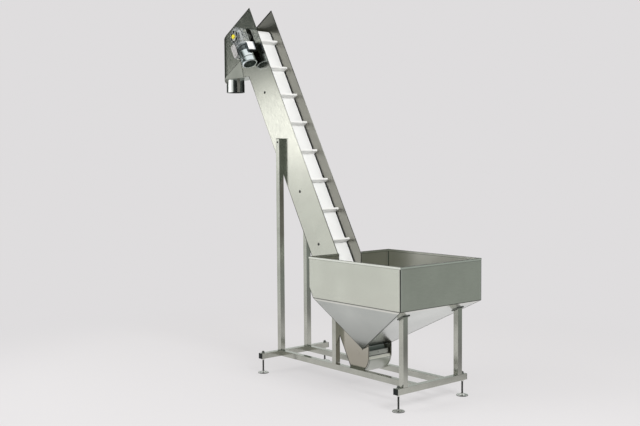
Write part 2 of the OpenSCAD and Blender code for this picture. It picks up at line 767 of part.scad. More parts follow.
// Fan cover with a chamfered end and a ring of air slots
grille_slots = 12;
slot_w = 7;
cover_t = 3;
fan_edge = 8;
slot_start = 18;
slot_len = fan_d / 2 - fan_edge - cover_t - slot_start;
module fan_cover() place() color("gray") on_slope()
  translate([motor_height, motor_y, motor_s1 - motor_len - fan_len]) difference() {
    rotate_extrude($fn = fine) polygon([[0, 0], [fan_d / 2 - fan_edge, 0], [fan_d / 2, fan_edge],
      [fan_d / 2, fan_len], [fan_d / 2 - cover_t, fan_len], [fan_d / 2 - cover_t, fan_edge + cover_t],
      [fan_d / 2 - fan_edge, cover_t], [0, cover_t]]);
    for (k = [0 : grille_slots - 1]) rotate([0, 0, k * 360 / grille_slots])
      translate([slot_start, -slot_w / 2, -1]) cube([slot_len, slot_w, cover_t + 2]);
  }

// Terminal box on the motor, with a lid and a cable gland
tbox_w = 84;
tbox_l = 88;
tbox_h = 50;
tbox_gap = 16;
lid_t = 8;
lid_over = 2;
gland_d = 24;
gland_l = 16;
module terminal_box() place() color("whitesmoke") on_slope()
  translate([motor_height, motor_y - tbox_w / 2, motor_s1 - tbox_gap - tbox_l]) difference() {
    union() {
      translate([motor_d / 2 - fin_depth, 0, 0]) cube([tbox_h, tbox_w, tbox_l]);
      translate([motor_d / 2 - fin_depth + tbox_h, -lid_over, -lid_over])
        cube([lid_t, tbox_w + 2 * lid_over, tbox_l + 2 * lid_over]);
      translate([motor_d / 2 - fin_depth + tbox_h / 2, tbox_w / 2, -gland_l])
        cylinder(d = gland_d, h = gland_l + 1, $fn = fine);
    }
    translate([0, tbox_w / 2, -1]) cylinder(d = motor_d, h = tbox_l + 2, $fn = fine);
  }

front_cross_tube();
rear_cross_tube();
side_rails();
tall_posts();
front_hopper_posts();
rear_hopper_posts();
saddle_plates();
tube_caps();
foot_pads();
foot_rods();
foot_nuts();
hopper_near_wall();
hopper_far_wall();
hopper_front_wall();
hopper_rear_wall();
near_slope();
far_slope();
front_slope();
rear_slopes();
casing_near_plate();
casing_far_plate();
casing_back_cover();
slider_bed();
tie_bars();
belt();
scoops_carrying();
scoops_on_drums();
scoops_return();
head_drum();
boot_drum();
drum_shafts();
head_bearing();
boot_nose();
cleanout_strip();
head_rear_wall();
head_hood();
chute_transition();
chute_rear_floor();
chute_floor();
discharge_spout();
gear_unit();
shaft_cover();
drive_motor();
fan_cover();
terminal_box();
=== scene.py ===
"""Looks of an inclined bucket elevator: studio, finishes and the detail pieces round its CAD frame."""

import json
import math

import bmesh
import bpy
from mathutils import Matrix, Vector


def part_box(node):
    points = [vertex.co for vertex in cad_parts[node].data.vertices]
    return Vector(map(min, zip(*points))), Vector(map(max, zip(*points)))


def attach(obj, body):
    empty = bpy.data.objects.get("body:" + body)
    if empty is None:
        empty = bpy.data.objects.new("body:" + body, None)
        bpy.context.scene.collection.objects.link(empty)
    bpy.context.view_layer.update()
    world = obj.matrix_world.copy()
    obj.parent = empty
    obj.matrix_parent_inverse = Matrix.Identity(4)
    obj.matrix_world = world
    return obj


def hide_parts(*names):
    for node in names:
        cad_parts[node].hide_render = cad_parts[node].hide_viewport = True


bl_info = {
    "name": "Bucket elevator",
    "version": (1, 0, 0),
    "blender": (4, 5, 0),
    "location": "View3D > Sidebar > Elevator",
    "description": "Builds the studio, the finishes and the detail pieces of an inclined bucket elevator",
    "category": "Object",
}

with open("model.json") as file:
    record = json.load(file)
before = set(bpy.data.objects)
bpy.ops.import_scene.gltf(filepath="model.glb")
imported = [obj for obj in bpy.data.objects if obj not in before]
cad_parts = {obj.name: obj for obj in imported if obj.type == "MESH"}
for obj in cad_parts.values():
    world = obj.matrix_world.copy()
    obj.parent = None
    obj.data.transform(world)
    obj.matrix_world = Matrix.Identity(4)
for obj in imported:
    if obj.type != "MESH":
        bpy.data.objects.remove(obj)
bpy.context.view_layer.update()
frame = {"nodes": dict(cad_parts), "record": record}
NODES = frame["nodes"]

# Places of the casing in metres: n is the distance above its rear edge, s the distance up the slope
SLOPE = math.radians(60.8)
SN, CS = math.sin(SLOPE), math.cos(SLOPE)
SLOPE_AXES = Matrix(((SN, 0, -CS), (0, 1, 0), (CS, 0, SN)))
DRAWN_FRONT = 0.097
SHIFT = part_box("hopper_front_wall")[1].x - DRAWN_FRONT
EDGE_X, EDGE_Z = SHIFT - 1.305, 1.0
CASING_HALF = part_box("casing_far_plate")[1].y
CASING_DEPTH = 0.335
CASING_TOP = 2.608
PLATE = 0.0025
TUBE = 0.050

# Drums, belt and scoops
DRUM_N = 0.140
HEAD_S = 2.394
BOOT_S = -0.864
BELT_N = 0.218
WRAP = 0.078
BELT_HALF = 0.1215
SCOOPS = 23
FIRST_SCOOP_S = 0.139

# Tie bars, whose bolts show on the side plates
TIE_N = 0.138
TIE_S = (0.171, 0.704, 1.237, 1.769)

# Drive: the motor with the ends of its fan cover and of its housing, then its terminal box
MOTOR_N = 0.170
MOTOR_S = (2.066, 2.118, 2.268)
FLANGE_BOLTS = 0.060
BOX_N = MOTOR_N + 0.060
BOX_S, BOX_LENGTH, BOX_HALF, BOX_DEPTH = 2.166, 0.084, 0.038, 0.040

# Gear unit: its hub, its housing with a round end, and the foot block beside it
HUB_STEP, HUB_BOLTS = 0.016, 0.0485
GEAR_N, GEAR_HALF, GEAR_FRONT_N = 0.148, 0.066, 0.216
GEAR_LOW_S, GEAR_ROUND_S = 2.284, 2.416
GEAR_SCREWS = ((0.096, 2.306), (0.200, 2.306), (0.148, 2.300), (0.196, 2.340), (0.196, 2.388),
               (0.190, 2.440), (0.160, 2.466))
GEAR_PLUGS = ((0.030, 2.310), (0.060, 2.410))
FOOT_N, FOOT_S, FOOT_REAR_N = 0.068, 2.280, 0.036
FOOT_BOLT_Y = (-0.247, -0.198)
STUD_N, STUD_S = 0.070, 2.192

# Levelling feet: radius of the pad and the rod, and half the width of a nut over its corners
PAD_RADIUS, ROD_RADIUS, NUT_HALF = 0.049, 0.008, 0.0135

# Drawn edges: radius, distance from the edge of the plate, and height of the axis over the plate
THIN_EDGE = (0.0030, 0.0029, -0.0014)
BOLD_EDGE = (0.0050, 0.0051, -0.0036)
SEAM_EDGE = (0.0028, 0.0024, -0.0015)

# Folded lip of the boot: its place, and the way it faces
LIP_X, LIP_Z, LIP_LEAN = 0.7262, 0.2838, (0.81, 0, 0.59)

# Camera in the drawing, with its turns in degrees, and the ways of the room as it sees them
EYE = (4.9951, -5.3958, 1.9731)
YAW, PITCH, ROLL = 49.865, 3.337, -0.397
TO_LEFT, TO_CAMERA, ACROSS = (-0.64, -0.76, 0), (0.76, -0.64, 0), (0.64, -0.76, 0)


def on_slope(n, y, s):
    """Point at n above the rear edge, y across and s up the slope."""
    return Vector((EDGE_X + n * SN - s * CS, y, EDGE_Z + n * CS + s * SN))


def slope_place(n, y, s):
    """Frame on the slope whose axes are above the edge, across, and up the slope."""
    return Matrix.Translation(on_slope(n, y, s)) @ SLOPE_AXES.to_4x4()


# Mesh tools


def look_along(origin, direction, side=(0, 0, 1)):
    """Frame whose z axis points along direction."""
    z = Vector(direction).normalized()
    x = Vector(side).cross(z)
    if x.length < 1e-6:
        x = Vector((1, 0, 0)).cross(z)
    x.normalize()
    turn = Matrix((x, z.cross(x), z)).transposed()
    return Matrix.Translation(Vector(origin)) @ turn.to_4x4()


def ring_of(bm, place, radius, height, steps):
    """Circle of vertices about the z axis of place."""
    turns = [2 * math.pi * i / steps for i in range(steps)]
    return [bm.verts.new(place @ Vector((radius * math.cos(a), radius * math.sin(a), height))) for a in turns]


def skin(bm, rings):
    """Closed bar through rings that have as many vertices each."""
    for low, high in zip(rings, rings[1:]):
        for k in range(len(low)):
            m = (k + 1) % len(low)
            bm.faces.new((low[k], low[m], high[m], high[k]))
    bm.faces.new(rings[0][::-1])
    bm.faces.new(rings[-1])


def lathe(bm, profile, place=Matrix(), steps=32, closed=False):
    """Revolves (radius, height) pairs about the z axis of place."""
    rings = []
    for radius, height in profile:
        if radius < 1e-7:
            rings.append([bm.verts.new(place @ Vector((0, 0, height)))])
        else:
            rings.append(ring_of(bm, place, radius, height, steps))
    pairs = list(zip(rings, rings[1:]))
    if closed:
        pairs.append((rings[-1], rings[0]))
    for low, high in pairs:
        for i in range(steps):
            j = (i + 1) % steps
            corners = [low[i % len(low)], low[j % len(low)], high[j % len(high)], high[i % len(high)]]
            unique = list(dict.fromkeys(corners))
            if len(unique) > 2:
                bm.faces.new(unique)


def hexagon(radius):
    """Corners of a hexagon."""
    return [(radius * math.cos(math.pi / 3 * k), radius * math.sin(math.pi / 3 * k)) for k in range(6)]


def prism(bm, outline, height, place=Matrix(), bevel=0.0, segments=2):
    """Extrudes a flat outline along z, with its edges rounded by bevel."""
    part = bmesh.new()
    low = [part.verts.new((x, y, 0)) for x, y in outline]
    high = [part.verts.new((x, y, height)) for x, y in outline]
    part.faces.new(low[::-1])
    part.faces.new(high)
    count = len(outline)
    for i in range(count):
        j = (i + 1) % count
        part.faces.new((low[i], low[j], high[j], high[i]))
    join(bm, part, place, bevel, segments)


def block(bm, low, high, place=Matrix(), bevel=0.0, segments=2):
    """Rounded block between two corners."""
    (x0, y0, z0), (x1, y1, z1) = low, high
    outline = [(x0, y0), (x1, y0), (x1, y1), (x0, y1)]
    prism(bm, outline, z1 - z0, place @ Matrix.Translation((0, 0, z0)), bevel, segments)


def join(bm, part, place=Matrix(), bevel=0.0, segments=2):
    """Bevels the part's edges, moves it to its place and adds it to bm."""
    bmesh.ops.recalc_face_normals(part, faces=part.faces)
    if bevel > 0:
        sharp = [e for e in part.edges if e.calc_face_angle(0) > math.radians(25)]
        bmesh.ops.bevel(
            part, geom=sharp, offset=bevel, segments=segments, profile=0.5,
            affect="EDGES", clamp_overlap=True,
        )
    bmesh.ops.transform(part, matrix=place, verts=part.verts)
    scratch = bpy.data.meshes.new("scratch")
    part.to_mesh(scratch)
    part.free()
    bm.from_mesh(scratch)
    bpy.data.meshes.remove(scratch)


def sweep(bm, path, radius, steps=8, ripple=0.0, ripple_every=0.004):
    """Round bar along a path, with a ripple along its length for weld beads."""
    points = [Vector(p) for p in path]
    length = 0.0
    rings = []
    for i, point in enumerate(points):
        ahead = points[min(i + 1, len(points) - 1)] - points[max(i - 1, 0)]
        if i:
            length += (point - points[i - 1]).length
        size = radius * (1 + ripple * math.sin(2 * math.pi * length / ripple_every))
        rings.append(ring_of(bm, look_along(point, ahead, (0.31, 0.52, 0.79)), size, 0, steps))
    skin(bm, rings)


def bead(bm, start, end, radius, every=0.006):
    """Weld bead between two points."""
    start, end = Vector(start), Vector(end)
    count = max(2, int((end - start).length / every) * 2)
    path = [start.lerp(end, i / count) for i in range(count + 1)]
    sweep(bm, path, radius, 6, 0.16, every)


def corner_normals(bm, smooth):
    """Normal of each face corner, led by the largest faces, so that flats stay flat beside rounded edges."""
    limit = math.cos(math.radians(smooth))
    weighted = {face: face.normal * face.calc_area() for face in bm.faces}
    return [
        sum((weighted[other] for other in vert.link_faces if other.normal.dot(face.normal) > limit), Vector())
        for face in bm.faces for vert in face.verts
    ]


def plate_outlines(name, direction, inset, lift, shortest=0.5):
    """Closed outlines of the flat side of a CAD plate, drawn in by inset and raised by lift."""
    side = Vector(direction).normalized()
    bm = bmesh.new()
    bm.from_mesh(NODES[name].data)
    bmesh.ops.remove_doubles(bm, verts=bm.verts, dist=1e-6)
    facing_out = [face for face in bm.faces if face.normal.dot(side) > 0.999]
    main = max(facing_out, key=lambda face: face.calc_area()).verts[0].co.dot(side)
    flat = [face for face in facing_out if abs(face.verts[0].co.dot(side) - main) < 0.0004]
    known = set(flat)
    following = {}
    for face in flat:
        for loop in face.loops:
            if sum(other in known for other in loop.edge.link_faces) == 1:
                following[loop.vert] = loop.link_loop_next.vert
    outlines = []
    while following:
        start, after = following.popitem()
        points = [start.co.copy()]
        while after in following:
            points.append(after.co.copy())
            after = following.pop(after)
        rim = sum((a - b).length for a, b in zip(points, points[1:]))
        if rim > shortest:
            outlines.append(drawn_in(points, side, inset, lift))
    bm.free()
    return outlines


def drawn_in(points, side, inset, lift):
    """Corners of a closed outline, drawn in by inset and raised by lift."""
    corners = []
    for i, point in enumerate(points):
        arrive = (point - points[i - 1]).normalized()
        leave = (points[(i + 1) % len(points)] - point).normalized()
        if arrive.dot(leave) > 0.99999:
            continue
        inward = (side.cross(arrive) + side.cross(leave)).normalized()
        reach = inset / max(inward.dot(side.cross(arrive)), 0.3)
        corners.append(point + inward * reach + side * lift)
    return corners


def finish_piece(name, bm, material, stands_for=(), smooth=35):
    """Turns a bmesh into a named piece of the elevator."""
    bmesh.ops.recalc_face_normals(bm, faces=bm.faces)
    bm.normal_update()
    normals = corner_normals(bm, smooth)
    mesh = bpy.data.meshes.new(name)
    bm.to_mesh(mesh)
    bm.free()
    mesh.shade_smooth()
    mesh.normals_split_custom_set([n.normalized() for n in normals])
    mesh.materials.append(material)
    piece = bpy.data.objects.new(name, mesh)
    bpy.context.scene.collection.objects.link(piece)
    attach(piece, "root")
    if stands_for:
        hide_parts(*stands_for)
    return piece


# Finishes


def add_node(tree, kind, **values):
    """New shader node with the given input values or properties."""
    made = tree.nodes.new(kind)
    for key, value in values.items():
        if key in made.inputs:
            made.inputs[key].default_value = value
        else:
            setattr(made, key, value)
    return made


def ramp(tree, value, source, target=(0.0, 1.0), steps="SMOOTHSTEP"):
    """Step of a value from one range to another."""
    made = add_node(tree, "ShaderNodeMapRange", interpolation_type=steps)
    made.inputs["From Min"].default_value, made.inputs["From Max"].default_value = source
    made.inputs["To Min"].default_value, made.inputs["To Max"].default_value = target
    tree.links.new(value, made.inputs["Value"])
    return made.outputs["Result"]


def combine(tree, operation, first, second):
    """Arithmetic on two values, each a socket or a plain number."""
    made = add_node(tree, "ShaderNodeMath", operation=operation)
    for socket, value in zip(made.inputs, (first, second)):
        if isinstance(value, float):
            socket.default_value = value
        else:
            tree.links.new(value, socket)
    return made.outputs[0]


def facing(tree, source, direction):
    """How far a place or a direction reaches along the given one."""
    made = add_node(tree, "ShaderNodeVectorMath", operation="DOT_PRODUCT")
    made.inputs[1].default_value = direction
    tree.links.new(source, made.inputs[0])
    return made.outputs["Value"]


def mix(tree, share, first, second):
    """Shader that goes from the first to the second by a share."""
    made = add_node(tree, "ShaderNodeMixShader")
    for socket, value in zip(made.inputs, (share, first, second)):
        tree.links.new(value, socket)
    return made.outputs[0]


def new_group(name, inputs, outputs):
    """Node group with the given input values and outputs, and its two ends."""
    tree = bpy.data.node_groups.new(name, "ShaderNodeTree")
    for label, value in inputs.items():
        kind = "NodeSocketFloat" if isinstance(value, float) else "NodeSocketVector"
        tree.interface.new_socket(label, in_out="INPUT", socket_type=kind).default_value = value
    for label in outputs:
        tree.interface.new_socket(label, in_out="OUTPUT", socket_type="NodeSocketFloat")
    return tree, tree.nodes.new("NodeGroupInput"), tree.nodes.new("NodeGroupOutput")


def surface_group():
    """Grain, clouds and height of a finish, as one shared node group."""
    name = "surface grain"
    if name in bpy.data.node_groups:
        return bpy.data.node_groups[name]
    inputs = {"Stretch": (1, 1, 1), "Turn": (0, 0, 0), "Fineness": 200.0, "Cloud Size": 2.0}
    tree, source, target = new_group(name, inputs, ("Streak", "Cloud", "Height"))
    place = add_node(tree, "ShaderNodeTexCoord").outputs["Object"]
    turned = add_node(tree, "ShaderNodeMapping")
    stretched = add_node(tree, "ShaderNodeMapping")
    grain = add_node(tree, "ShaderNodeTexNoise", Detail=3.0, Roughness=0.6)
    fine = add_node(tree, "ShaderNodeTexNoise", Detail=2.0)
    cloud = add_node(tree, "ShaderNodeTexNoise", Detail=3.0, Roughness=0.55)
    link = tree.links.new
    link(place, turned.inputs["Vector"])
    link(source.outputs["Turn"], turned.inputs["Rotation"])
    link(turned.outputs["Vector"], stretched.inputs["Vector"])
    link(source.outputs["Stretch"], stretched.inputs["Scale"])
    link(stretched.outputs["Vector"], grain.inputs["Vector"])
    link(source.outputs["Fineness"], grain.inputs["Scale"])
    link(place, fine.inputs["Vector"])
    link(source.outputs["Fineness"], fine.inputs["Scale"])
    link(place, cloud.inputs["Vector"])
    link(source.outputs["Cloud Size"], cloud.inputs["Scale"])
    both = combine(tree, "ADD", grain.outputs["Fac"], fine.outputs["Fac"])
    link(grain.outputs["Fac"], target.inputs["Streak"])
    link(cloud.outputs["Fac"], target.inputs["Cloud"])
    link(combine(tree, "MULTIPLY", both, 0.5), target.inputs["Height"])
    return tree


def line_group():
    """Mask of a straight band, such as a seam, a hem or an edge, as one shared node group."""
    name = "straight band"
    if name in bpy.data.node_groups:
        return bpy.data.node_groups[name]
    inputs = {"Axis": (0, 0, 1), "Position": 0.0, "Core": 0.002, "Reach": 0.004}
    tree, source, target = new_group(name, inputs, ("Mask",))
    along = add_node(tree, "ShaderNodeVectorMath", operation="DOT_PRODUCT")
    distance = add_node(tree, "ShaderNodeMath", operation="ABSOLUTE")
    fade = add_node(tree, "ShaderNodeMapRange")
    fade.inputs["To Min"].default_value = 1.0
    fade.inputs["To Max"].default_value = 0.0
    link = tree.links.new
    link(add_node(tree, "ShaderNodeTexCoord").outputs["Object"], along.inputs[0])
    link(source.outputs["Axis"], along.inputs[1])
    link(combine(tree, "SUBTRACT", along.outputs["Value"], source.outputs["Position"]), distance.inputs[0])
    link(distance.outputs[0], fade.inputs["Value"])
    link(source.outputs["Core"], fade.inputs["From Min"])
    link(source.outputs["Reach"], fade.inputs["From Max"])
    link(fade.outputs["Result"], target.inputs["Mask"])
    return tree


def inside_group():
    """Mask of all that lies inside a box, as one shared node group."""
    name = "inside of a box"
    if name in bpy.data.node_groups:
        return bpy.data.node_groups[name]
    inputs = {"Centre": (0, 0, 0), "Half Size": (0, 0, 0)}
    tree, source, target = new_group(name, inputs, ("Mask",))
    offset = add_node(tree, "ShaderNodeVectorMath", operation="SUBTRACT")
    distance = add_node(tree, "ShaderNodeVectorMath", operation="ABSOLUTE")
    beyond = add_node(tree, "ShaderNodeVectorMath", operation="SUBTRACT")
    parts = add_node(tree, "ShaderNodeSeparateXYZ")
    link = tree.links.new
    link(add_node(tree, "ShaderNodeTexCoord").outputs["Object"], offset.inputs[0])
    link(source.outputs["Centre"], offset.inputs[1])
    link(offset.outputs[0], distance.inputs[0])
    link(distance.outputs[0], beyond.inputs[0])
    link(source.outputs["Half Size"], beyond.inputs[1])
    link(beyond.outputs[0], parts.inputs[0])
    furthest = combine(tree, "MAXIMUM", parts.outputs["X"], parts.outputs["Y"])
    furthest = combine(tree, "MAXIMUM", furthest, parts.outputs["Z"])
    link(combine(tree, "LESS_THAN", furthest, 0.0), target.inputs["Mask"])
    return tree


def blend_colour(tree, mask, first, second):
    """Mixes two colours, each a socket or a plain value, by a mask."""
    made = add_node(tree, "ShaderNodeMix", data_type="RGBA")
    tree.links.new(mask, made.inputs["Factor"])
    for label, colour in (("A", first), ("B", second)):
        socket = [s for s in made.inputs if s.type == "RGBA" and s.name == label][0]
        if isinstance(colour, tuple):
            socket.default_value = (*colour, 1)
        else:
            tree.links.new(colour, socket)
    return [s for s in made.outputs if s.type == "RGBA"][0]


def finish(name, dark, light, metallic, rough, bump, stretch=(1, 1, 1), turn=(0, 0, 0),
           fineness=200.0, cloud=2.0, coat=0.0, anisotropic=0.0, specular=0.5, lines=(), inner=None,
           shade=None):
    """Material whose colour and gloss vary with the grain and clouds of its surface.

    Each line is a band of another tone: its axis, its place along the axis, its core, its reach
    and its colour. inner is a box, its colour, which paints light and shade inside it, and its roughness, for
    the faces inside that box.
    shade is a direction and the colour of the painted shade on the faces that look that way."""
    if name in bpy.data.materials:
        return bpy.data.materials[name]
    material = bpy.data.materials.new(name)
    material.use_nodes = True
    tree = material.node_tree
    shader = tree.nodes["Principled BSDF"]
    for label, value in (("Metallic", metallic), ("Coat Weight", coat), ("Anisotropic", anisotropic),
                         ("Specular IOR Level", specular)):
        shader.inputs[label].default_value = value
    group = add_node(tree, "ShaderNodeGroup", node_tree=surface_group(), Stretch=stretch, Turn=turn,
                     Fineness=fineness)
    group.inputs["Cloud Size"].default_value = cloud
    clouds = ramp(tree, group.outputs["Cloud"], (0.3, 0.7), steps="LINEAR")
    colour = blend_colour(tree, clouds, tuple(dark), tuple(light))
    roughness = ramp(tree, group.outputs["Streak"], (0.3, 0.7), rough, "LINEAR")
    # Faces inside the box: painted light and shade in their colour, and a duller gloss
    if inner:
        (low, high), tone, inner_rough = inner
        mask = add_node(tree, "ShaderNodeGroup", node_tree=inside_group(),
                        Centre=[(a + b) / 2 for a, b in zip(low, high)])
        mask.inputs["Half Size"].default_value = [(b - a) / 2 for a, b in zip(low, high)]
        colour = blend_colour(tree, mask.outputs["Mask"], colour, tone)
        duller = combine(tree, "MULTIPLY", mask.outputs["Mask"], inner_rough)
        roughness = combine(tree, "ADD", duller, roughness)
    for axis, position, core, reach, tone in lines:
        band = add_node(tree, "ShaderNodeGroup", node_tree=line_group(), Axis=axis, Position=position,
                        Core=core, Reach=reach)
        colour = blend_colour(tree, band.outputs["Mask"], colour, tone)
    # Painted shade on the faces that look the given way
    if shade:
        direction, tone = shade
        normal = add_node(tree, "ShaderNodeNewGeometry").outputs["True Normal"]
        turned = ramp(tree, facing(tree, normal, direction), (0.0, 0.4), steps="LINEAR")
        colour = blend_colour(tree, turned, colour, tone)
    relief = add_node(tree, "ShaderNodeBump", Strength=bump[0], Distance=bump[1])
    tree.links.new(group.outputs["Height"], relief.inputs["Height"])
    for label, source in (("Base Color", colour), ("Roughness", roughness), ("Normal", relief.outputs[0])):
        tree.links.new(source, shader.inputs[label])
    return material


# Tones of the dark seams, of the painted shade along folds and the painted highlights on hems, and of the
# painted shade on the drive's faces that look at the side plate
SEAM = (0.13, 0.13, 0.12)
FOLD_SHADE = (0.34, 0.34, 0.31)
HEM_HIGHLIGHT = (0.78, 0.79, 0.73)
X_AXIS, Y_AXIS, Z_AXIS = (1, 0, 0), (0, 1, 0), (0, 0, 1)
# Painted shade on the drive's faces that look at the side plate, seen in its mirror
PLATE_SIDE_SHADE = (Y_AXIS, (0.02, 0.025, 0.022))


def sheet_steel(name="satin sheet", stretch=(1, 1, 1), turn=(0, 0, 0), lines=(), inner=None, duller=0.0):
    tone = bpy.context.scene.elevator_steel
    light = tuple(tone.sheet_colour)
    rough = tone.sheet_roughness + duller
    return finish(name, tuple(c * 0.88 for c in light), light, 1.0, (rough - 0.06, rough + 0.07),
                  (0.05, 0.0003), stretch, turn, 260.0, 2.3, anisotropic=0.3, lines=lines, inner=inner)


def casing_sheet():
    """Side plates: brushed along the slope, duller inside and painted darker there as shade, with dark cut
    edges and painted shade low down at the boot.
    """
    above, along = tuple(SLOPE_AXES.col[0]), tuple(SLOPE_AXES.col[2])
    front_edge = on_slope(CASING_DEPTH, 0, 0).dot(Vector(above))
    top_edge = on_slope(0, 0, CASING_TOP).dot(Vector(along))
    inside = CASING_HALF - PLATE / 2
    lines = (
        (above, front_edge, 0.003, 0.007, (0.20, 0.21, 0.18)),
        (along, top_edge, 0.003, 0.008, SEAM),
        # Painted shade: darker, browner tone low down at the boot, under the hopper
        (Z_AXIS, 0.20, 0.10, 0.52, (0.40, 0.38, 0.32)),
    )
    # Painted shade: the faces inside the casing get a darker colour as well as a duller gloss
    return sheet_steel("brushed casing sheet", (1, 1, 0.05), (0, math.pi / 2 - SLOPE, 0), lines,
                       inner=(((-9, -inside, -9), (9, inside, 9)), (0.355, 0.35, 0.315), 0.18), duller=-0.03)


def wall_sheet():
    """Hopper walls: brushed upright and painted lighter inside as light, with painted highlights on the hems,
    painted shade along the folds, and the corner seams.
    """
    low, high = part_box("hopper_near_wall")[0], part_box("hopper_far_wall")[1]
    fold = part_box("hopper_front_wall")[0].z
    rim = high.z
    inside = ((low.x + PLATE, low.y + PLATE, 0), (high.x - PLATE, high.y - PLATE, rim - 0.001))
    lines = (
        (X_AXIS, high.x - 0.0085, 0.0025, 0.0045, SEAM),
        # Painted highlights on the hems, painted shade along the folds
        (Y_AXIS, low.y + 0.010, 0.005, 0.009, HEM_HIGHLIGHT),
        (Y_AXIS, high.y - 0.010, 0.005, 0.009, HEM_HIGHLIGHT),
        (Z_AXIS, fold, 0.001, 0.005, FOLD_SHADE),
        (Z_AXIS, rim - 0.0185, 0.001, 0.0035, FOLD_SHADE),
        (Z_AXIS, rim - 0.008, 0.008, 0.010, HEM_HIGHLIGHT),
        (Z_AXIS, rim, 0.001, 0.0045, SEAM),
    )
    # Painted light: the faces inside the hopper get a lighter colour as well as a duller gloss
    return sheet_steel("brushed hopper sheet", (0.05, 0.05, 1), lines=lines,
                       inner=(inside, (0.66, 0.645, 0.585), 0.16))


def slope_sheet(name, dark, light):
    """Hopper slopes: satin, with a painted highlight under the fold and painted shade along it, and darker
    towards the boot.
    """
    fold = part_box("near_slope")[1].z
    lines = (
        (Z_AXIS, fold - 0.45, 0.05, 0.34, tuple(c * 0.72 for c in light)),
        # Painted highlight under the fold, painted shade along it
        (Z_AXIS, fold - 0.012, 0.004, 0.010, HEM_HIGHLIGHT),
        (Z_AXIS, fold - 0.001, 0.001, 0.004, FOLD_SHADE),
    )
    return finish(name, dark, light, 1.0, (0.14, 0.27), (0.10, 0.0004), fineness=260.0, cloud=2.3,
                  anisotropic=0.3, lines=lines)


# Painted shade: the side slopes are the same steel as the front slope, coloured darker for the light they get
def side_slope_sheet():
    return slope_sheet("satin side slopes", (0.50, 0.525, 0.50), (0.58, 0.605, 0.575))


# Painted light: the front slope is the same steel as the side slopes, coloured lighter for the light it gets
def front_slope_sheet():
    return slope_sheet("satin front slope", (0.68, 0.71, 0.68), (0.76, 0.79, 0.76))


# Painted shade: the chute is the casing's steel, coloured darker for the shade round the head
def chute_sheet():
    return finish("satin chute sheet", (0.32, 0.33, 0.295), (0.40, 0.41, 0.37), 1.0, (0.18, 0.32),
                  (0.12, 0.0004), fineness=260.0, cloud=5.0)


def spout_sheet():
    return finish("bright spout sheet", (0.58, 0.59, 0.575), (0.68, 0.69, 0.675), 1.0, (0.10, 0.20),
                  (0.10, 0.0004), (1, 1, 0.08), fineness=260.0, cloud=5.0)


def boot_sheet():
    """Cleanout side of the boot: painted shade in the recess over the strip, a painted highlight along the
    lip under it, and dark seams.
    """
    low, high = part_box("cleanout_strip")
    lines = (
        # Painted shade in the recess over the strip
        (Z_AXIS, high.z + 0.022, 0.010, 0.034, (0.10, 0.14, 0.12)),
        # Painted highlight along the lip under the strip
        (Z_AXIS, low.z - 0.012, 0.006, 0.012, (0.95, 0.95, 0.88)),
        (Z_AXIS, low.z, 0.001, 0.0045, SEAM),
        (Z_AXIS, high.z, 0.001, 0.0045, SEAM),
        (Y_AXIS, low.y, 0.001, 0.005, SEAM),
        (Y_AXIS, high.y, 0.001, 0.005, SEAM),
    )
    return finish("satin boot sheet", (0.44, 0.46, 0.42), (0.58, 0.60, 0.55), 0.9, (0.32, 0.46),
                  (0.12, 0.0004), (1, 0.05, 1), fineness=260.0, cloud=2.3, lines=lines)


# Painted highlight: the boot's folded steel lip as a pale, almost unmetallic finish that stands for its sheen
def lip_highlight():
    return finish("pale lip", (0.86, 0.86, 0.77), (0.97, 0.97, 0.88), 0.05, (0.26, 0.42),
                  (0.12, 0.0004), (1, 0.05, 1), fineness=260.0, cloud=8.0)


def seam_steel():
    return finish("dark seam", (0.05, 0.053, 0.047), (0.12, 0.125, 0.11), 0.9, (0.34, 0.5),
                  (0.3, 0.0005), fineness=400.0, cloud=20.0)


def edge_steel():
    """Cut edge of the casing: dark at the head and low down, bright between."""
    bright = (Z_AXIS, 2.15, 0.25, 0.60, (0.40, 0.40, 0.36))
    return finish("cut edge", (0.012, 0.013, 0.011), (0.028, 0.030, 0.026), 0.0, (0.45, 0.6),
                  (0.3, 0.0005), fineness=400.0, cloud=20.0, specular=0.05, lines=(bright,))


def tube_steel():
    light = tuple(bpy.context.scene.elevator_steel.tube_colour)
    return finish("satin tube", tuple(c * 0.80 for c in light), light, 1.0, (0.12, 0.25),
                  (0.12, 0.0003), (1, 1, 0.06), fineness=420.0, cloud=5.0)


def dark_tube_steel():
    return finish("saddle steel", (0.13, 0.14, 0.13), (0.26, 0.27, 0.25), 1.0, (0.28, 0.44),
                  (0.2, 0.0004), fineness=380.0, cloud=16.0)


def dark_bolt():
    return finish("dark bolt", (0.05, 0.052, 0.05), (0.13, 0.135, 0.125), 0.9, (0.26, 0.42),
                  (0.3, 0.0004), fineness=500.0, cloud=40.0)


def weld_steel():
    return finish("weld bead", (0.40, 0.37, 0.33), (0.62, 0.60, 0.57), 1.0, (0.25, 0.5),
                  (0.35, 0.0006), fineness=500.0, cloud=30.0)


def shaft_steel():
    return finish("turned steel", (0.50, 0.50, 0.50), (0.66, 0.66, 0.65), 1.0, (0.18, 0.32),
                  (0.15, 0.0003), (1, 30, 1), fineness=300.0, cloud=20.0)


def plated_steel():
    return finish("bright plated", (0.62, 0.62, 0.60), (0.82, 0.82, 0.79), 1.0, (0.16, 0.32),
                  (0.12, 0.0003), fineness=350.0, cloud=18.0)


def rod_steel():
    return finish("blackened rod", (0.02, 0.022, 0.02), (0.05, 0.052, 0.048), 0.3, (0.45, 0.62),
                  (0.25, 0.0004), fineness=600.0, cloud=40.0)


def black_plastic():
    return finish("black moulding", (0.006, 0.008, 0.008), (0.014, 0.017, 0.016), 0.0, (0.42, 0.6),
                  (0.3, 0.0003), fineness=900.0, cloud=30.0, specular=0.2)


